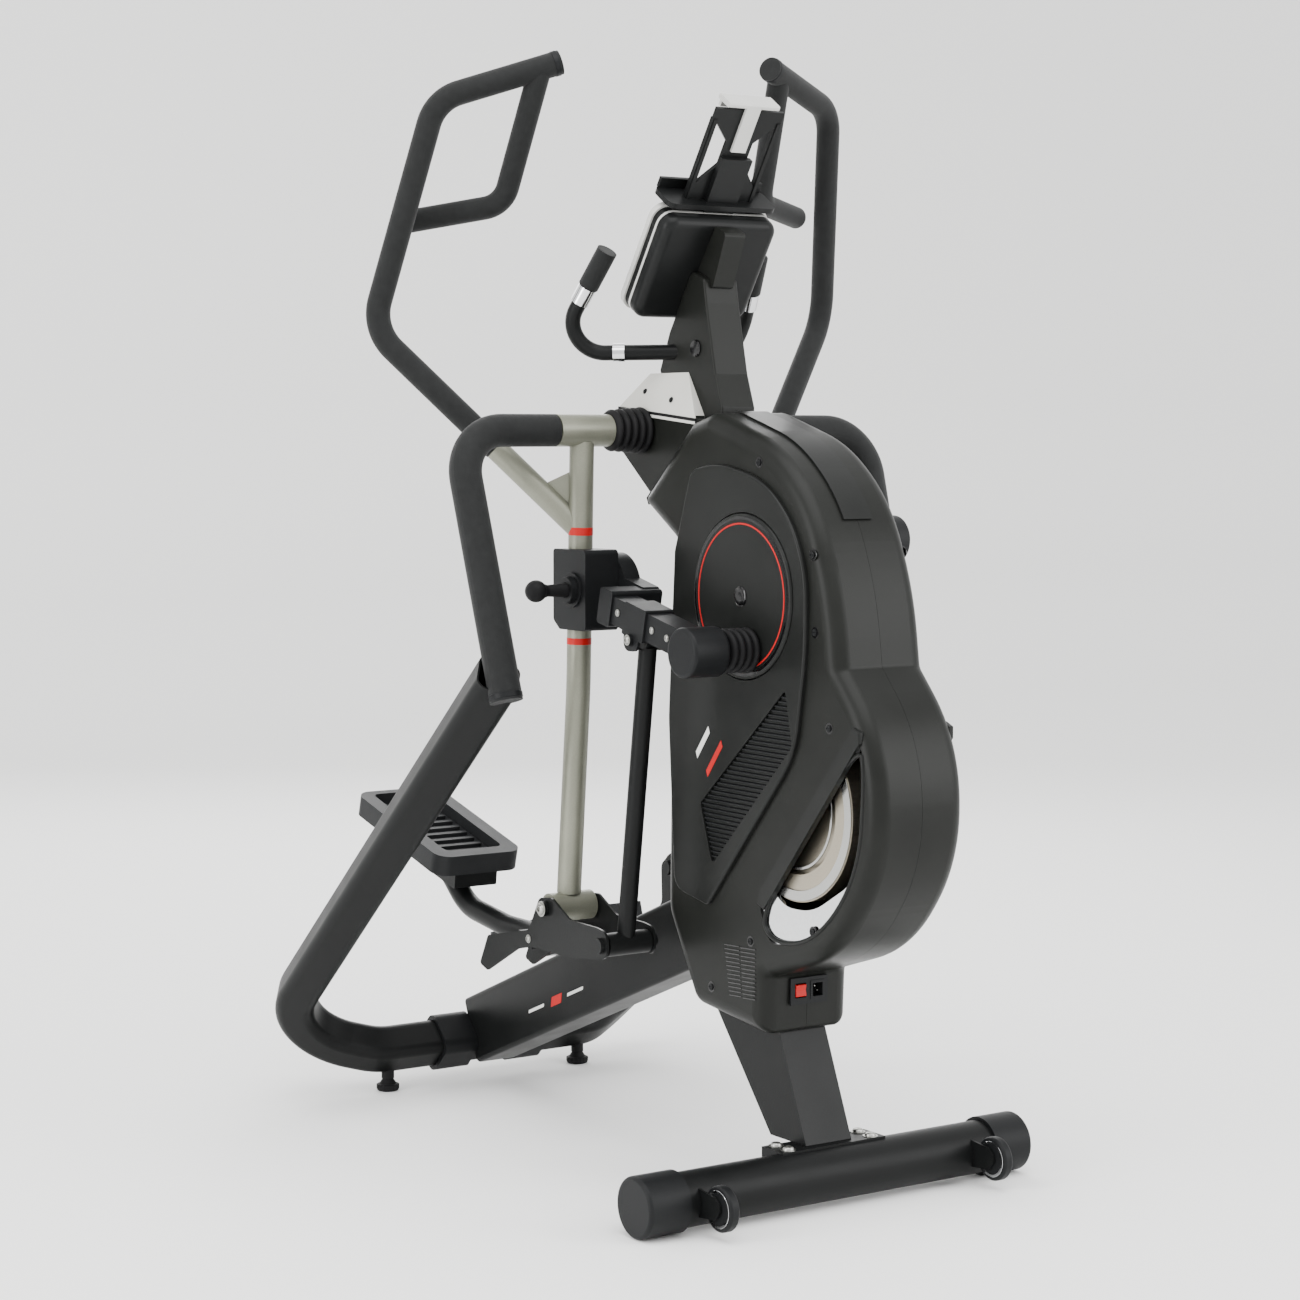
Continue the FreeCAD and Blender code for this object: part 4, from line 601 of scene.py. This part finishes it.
BOX_L = drawing_pivot("left_link_turn")
TEE_L = drawing_pivot("left_pedal_turn")
SWING = -10.5665
LINK_TURN, ARM_TURN = 26.4385, 31.8059
PIN_END = (463.7, 817.3)
LINK_LEAN = math.atan2(PIN_END[1] - BOX[1], PIN_END[0] - BOX[0])
LINK_SIDE = 192.2
for side, x in (("right", 1), ("left", -1)):
    put = (lambda p, a, b, t: at(*p)) if x > 0 else far_turn
    plate_out = [bolt(put((208 + 0.2, 239, 358), TEE, TEE_L, ARM_TURN), 8, (x, 0, 0)),
                 bolt(put((215.5, 80, 393), TEE, TEE_L, ARM_TURN), 9, (x, 0, 0)),
                 bolt(put((208.2, 30, 338), TEE, TEE_L, ARM_TURN), 5, (x, 0, 0))]
    piece(side + "_pedal_arm_bolts", plate_out, zinc, side + "_pedal")
    link_bolts = [bolt(put((201.2, 302, 826), BOX, BOX_L, LINK_TURN), 6, (x, 0, 0))]
    for along in (128, 222, 262):
        spot = (LINK_SIDE, BOX[0] + along * math.cos(LINK_LEAN), BOX[1] + along * math.sin(LINK_LEAN))
        link_bolts.append(bolt(put(spot, BOX, BOX_L, LINK_TURN), 4, (x, 0, 0)))
    piece(side + "_link_bolts", link_bolts, zinc, side + "_link")

# %% [markdown]
# The cover's screws sit in shallow dishes; the dishes are not cut, their shade is painted as thin dark rings
# round each head. The saddle's four bolts stand proud on the floor tube and use the same bolt maker.

# %% Painted shade round the cover screws, and the saddle bolts
spots = [(470, 1090), (600, 960), (606, 850), (640, 716), (604, 420), (452, 384), (352, 300)]
dish_shade_rings = []
for y, z in spots:
    for side in (1, -1):
        dish_shade_rings.append(hoop(5.2, 8.2, 81.2, 82.6, at(0, y, z), (side, 0, 0), 24))
# Near-black hoops round each screw head: painted shade of the dishes.
piece("screw_dish_painted_shade", dish_shade_rings, gloss_black_and_painted_shade, "frame")
domes = [bolt(at(x, y, 88.2), 8.5, (0, 0, 1), 0.6) for x in (-76, 76) for y in (509, 539)]
piece("saddle_bolt_heads", domes, zinc, "frame")

# %% [markdown]
# ## Stride box trim
# The box that slides on each arm has a round hub with a ring of ribs, drawn here as two stepped rings, and
# red index marks on the arm above and below show how far it has been moved.

# %% Hub rings and index bands


def arm_place(height):
    """Centre of the arm's tube at a height: it leans by 11 mm over its upper 380 mm."""
    return 118.0 - 11.0 * (1120.0 - height) / 380.0


for side, x in (("right", 1), ("left", -1)):
    put = (lambda p, a, b, t: at(*p)) if x > 0 else far_turn
    hub = put((0, 138, 893), AXLE, AXLE, SWING)
    hub[0] = 0
    rings = [hoop(21, 27, 192.5, 197, hub, (x, 0, 0), 48), hoop(12, 20, 200, 206.5, hub, (x, 0, 0), 48)]
    piece(side + "_box_hub", rings, nylon, side + "_stride_box")
    lean = math.atan2(11.0, 380.0) - (0 if x > 0 else math.radians(SWING))
    axis = (0, math.sin(lean), math.cos(lean))
    bands = [hoop(18.8, 19.35, -6, 6, put((163, arm_place(982), 982), AXLE, AXLE, SWING), axis, 48),
             hoop(18.8, 19.35, -5, 5, put((163, arm_place(812), 812), AXLE, AXLE, SWING), axis, 48)]
    piece(side + "_index_bands", bands, red_abs, side + "_arm")

# %% [markdown]
# ## Grip ends
# Every foam sleeve ends in a moulded plug with a rounded rim, a little wider than the foam.

# %% Plugs on the handrails and handles


def plug(end, back, r):
    """Plug: a rim and a shallow dome; end is the sleeve's tip and back a point further down the sleeve."""
    axis = (end - back) / np.linalg.norm(end - back)
    t = np.linspace(0, 1, 7)
    dome = np.stack([3.0 * np.sin(t * np.pi / 2), r * np.cos(t * np.pi / 2) * 0.97 + 0.3], axis=1)
    profile = np.vstack([[(-9.0, r * 1.0), (-8.4, r + 0.8), (-1.2, r + 0.8)], dome])
    return stack(turned_rings(profile, end - axis * 0.003, tuple(axis), 40))


rail_end, rail_bend = at(372, 238, 738), at(384, 118, 1137)
flip = np.array([-1, 1, 1])
rail_plugs = [plug(rail_end * way, rail_bend * way, 25.0) for way in (1, flip)]
piece("handrail_plugs", rail_plugs, nylon, "frame")
HANDLE_LOW, HANDLE_TOP = (342, -16, 1641), (162, 56, 1703)
tip_r = plug(at(*HANDLE_TOP), at(*HANDLE_LOW), 19.0)
tip_l = plug(*(far_turn(point, AXLE, AXLE, SWING) for point in (HANDLE_TOP, HANDLE_LOW)), 19.0)
piece("right_handle_plug", [tip_r], nylon, "right_arm")
piece("left_handle_plug", [tip_l], nylon, "left_arm")

# %% [markdown]
# ## Console
# The console faces the rider. It leans back by 33.7 degrees, so its details are drawn flat and then tilted
# with it: a recessed screen, a row of number bars, and a bright stripe down each side.

# %% Console details
TILT = math.radians(33.7)
home = at(0, 184, 1404)
BACK_W, BACK_H = 208.0, 176.0


def tilt(points):
    """Level console coordinates (mm) turned back about X by the lean, then moved to the console's middle."""
    p = np.asarray(points, float) / 1000.0
    c, s = math.cos(-TILT), math.sin(-TILT)
    return np.stack([p[..., 0], c * p[..., 1] - s * p[..., 2], s * p[..., 1] + c * p[..., 2]], axis=-1) + home


def rounded_rect(w, h, r, steps=6):
    """Outline of a w by h rectangle with quarter circles of radius r at the corners."""
    t = np.linspace(0, np.pi / 2, steps)
    corners = [((w / 2 - r, h / 2 - r), 0), ((-w / 2 + r, h / 2 - r), 1), ((-w / 2 + r, -h / 2 + r), 2),
               ((w / 2 - r, -h / 2 + r), 3)]
    quarter = np.pi / 2
    return np.vstack([np.stack([cx + r * np.cos(t + q * quarter), cz + r * np.sin(t + q * quarter)], axis=1)
                      for (cx, cz), q in corners])


def slab(w, h, r, y_back, y_front, x=0.0, z=0.0):
    """Rounded slab standing on the console's face, with its front edge eased."""
    rings = []
    for y, grow in ((y_back, 0.0), (y_front + 0.8, 0.0), (y_front, -0.8)):
        flat = rounded_rect(w + grow * 2, h + grow * 2, r)
        rings.append(np.stack([flat[:, 0] + x, np.full(len(flat), y), flat[:, 1] + z], axis=1))
    return stack(tilt(np.array(rings)))


piece("console_screen", [slab(150, 74, 6, -3, -9.6, 0, 22)], gloss_black_and_painted_shade, "frame")
edge = [(-0.6, 17.0), (0.5, 17.3), (0.5, 21.7), (-0.6, 22.0)]
loops = []
for grow, y in edge:
    flat = rounded_rect(BACK_W + 2 * grow, BACK_H + 2 * grow, 22.0 + grow)
    loops.append(np.stack([flat[:, 0], np.full(len(flat), y), flat[:, 1]], axis=1))
piece("console_edge_stripe", [stack(tilt(np.array(loops)), closed=True)], silver_abs, "frame")
bars = [slab(w, 3.2, 1.5, -9.0, -10.0, x, z) for x, z, w in
        [(-48, 44, 34), (0, 44, 34), (48, 44, 34), (-48, 14, 34), (0, 14, 34), (48, 14, 34)]]
piece("screen_bars", bars, silver_abs, "frame")

# %% [markdown]
# ## Neck, wheels, feet and power inlet
# The last small pieces: the neck's bolt caps, a light cover with a dark band round its foot over the housing,
# a thin rim on each transport wheel, grip ribs around the foot knobs and the three blades inside the power
# socket.

# %% Small pieces
neck_bits = []
for side in (1, -1):
    neck_bits.append(stack(turned_rings([(30.5, 13), (33, 13), (34.5, 11.5), (35, 6), (35.2, 0.5)],
                                        at(0, 236, 1262), (side, 0, 0), 32)))
piece("neck_bolt_caps", neck_bits, gloss_black_and_painted_shade, "frame")
hip = np.array([[at(x, y, z) for x, y in ((-w, back), (w, back), (w, front), (-w, front))]
                for z, w, back, front in ((1166.0, 52.0, 51.0, 262.0), (1173.5, 50.6, 50.6, 262.0),
                                          (1225.6, 31.5, 111.2, 216.4), (1226.0, 30.5, 112.4, 215.4))])
hip[:2, 2:, 2] -= 0.020
piece("hip_cover", [stack(hip)], hip_grey, "frame")
screws = [bolt(at(side * x, y, z), 3.4, (side * 0.94, 0, 0.34)) for side in (1, -1)
          for x, y, z in ((41.5, 112, 1198), (44.5, 188, 1184))]
piece("hip_screws", screws, nylon, "frame")
# A thin near-black band round the foot of the hip cover, from 7 mm below it to 1.5 mm above.
foot_ring = hip[1] + (hip[1] - hip[1].mean(0)) * np.array([0.012, 0.012, 0])
drop, lift = np.array([0, 0, -0.007]), np.array([0, 0, 0.0015])
piece("hip_foot_dark_band", [stack(np.array([foot_ring + drop, foot_ring + lift]))], rubber, "frame")
gasket = [(283, 1146), (272, 1150), (136, 1032), (141, 1022)]
gaskets = [stack(plate_rings(gasket, low, high, 1.0)) for low, high in ((49.0, 56.0), (-56.0, -49.0))]
piece("housing_gaskets", gaskets, rubber, "frame")
RIB = [(3.5, 1.5), (4.0, 2.1), (10.5, 2.1), (11.0, 1.5)]
KNOB_R = 17.8
for name, side in (("right", 1), ("left", -1)):
    lo, hi = (np.array(c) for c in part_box("transport_wheel_" + name))
    middle = (lo + hi) / 2
    half = (hi[0] - lo[0]) * 500
    hub_rings = [hoop(23, 27, half - 0.4, half + 0.6, middle, (s, 0, 0), 48) for s in (1, -1)]
    piece("wheel_rims_" + name, hub_rings, chrome, "transport_wheel_" + name)
    foot = at(side * 194.0, -461.0, 0)
    t = np.linspace(0, 2 * np.pi, 18, endpoint=False)
    around = np.stack([np.cos(t), np.sin(t), 0 * t], axis=1) * KNOB_R / 1000.0
    ribs = [stack(turned_rings(RIB, foot + away, (0, 0, 1), 8)) for away in around]
    piece("foot_ribs_" + name, ribs, rubber, "levelling_foot_" + name)
blades = [stack(turned_rings([(0, 1.3), (9, 1.3), (9.6, 0.8)], at(x, 471.4, z), (0, 1, 0), 10))
          for x, z in ((-20, 305), (-10, 305), (-15, 312))]
piece("inlet_blades", blades, zinc, "frame")

# %% [markdown]
# ## Floor and lamps
# A pale floor that curves up behind, and wide soft lamps: a big one over the front, a tall one on each side
# for the long highlights, and a low one behind that parts the black shapes from each other.

# %% Stage
sweep_y = np.array([9.0, 2.0, -3.0, -5.0, -6.2, -6.8, -7.0, -7.0])
sweep_z = np.array([0.0, 0.0, 0.0, 0.08, 0.5, 1.3, 2.4, 7.0])
rows = np.array([[(x, y, z - 0.0005) for x in (-9.0, 9.0)] for y, z in zip(sweep_y, sweep_z)])
index = np.arange(len(sweep_y) * 2).reshape(-1, 2)
quads = np.stack([index[:-1, 0], index[1:, 0], index[1:, 1], index[:-1, 1]], axis=1)
floor_mesh = bpy.data.meshes.new("studio_floor")
floor_mesh.from_pydata(rows.reshape(-1, 3).tolist(), [], quads.tolist())
floor_mesh.polygons.foreach_set("use_smooth", [True] * len(floor_mesh.polygons))
paper, paper_tree = blank("matt_paper_roll")
paper_shader = add(paper_tree, "ShaderNodeBsdfPrincipled", {"Base Color": srgb("#f4f4f3"), "Roughness": 0.9})
add(paper_tree, "ShaderNodeOutputMaterial", {"Surface": paper_shader.outputs["BSDF"]})
floor_mesh.materials.append(paper)
floor = bpy.data.objects.new("studio_floor", floor_mesh)
bpy.context.scene.collection.objects.link(floor)


def lamp(name, place, aim, size, power):
    """Rectangular soft lamp at place, turned to face aim."""
    light = bpy.data.lights.new(name, "AREA")
    light.shape = "RECTANGLE"
    light.size, light.size_y = size
    light.energy = power
    made = bpy.data.objects.new(name, light)
    made.location = place
    made.rotation_euler = (Vector(aim) - Vector(place)).to_track_quat("-Z", "Y").to_euler()
    bpy.context.scene.collection.objects.link(made)
    return made


lamp("overhead", (0.6, 1.6, 4.2), (0, 0, 0.8), (3.5, 3.5), 170)
lamp("right_tall", (4.0, 0.2, 1.8), (0, 0, 0.9), (1.4, 3.4), 130)
lamp("front_left", (-2.6, 3.8, 2.0), (0, 0, 0.9), (1.8, 3.0), 120)
lamp("rear", (-1.5, -3.6, 2.4), (0, 0, 0.9), (3.0, 2.0), 90)
world = bpy.data.worlds.new("soft_white_room")
bpy.context.scene.world = world
world.use_nodes = True
world.node_tree.nodes["Background"].inputs["Color"].default_value = srgb("#ffffff")
world.node_tree.nodes["Background"].inputs["Strength"].default_value = 1.7
print("stage ready")
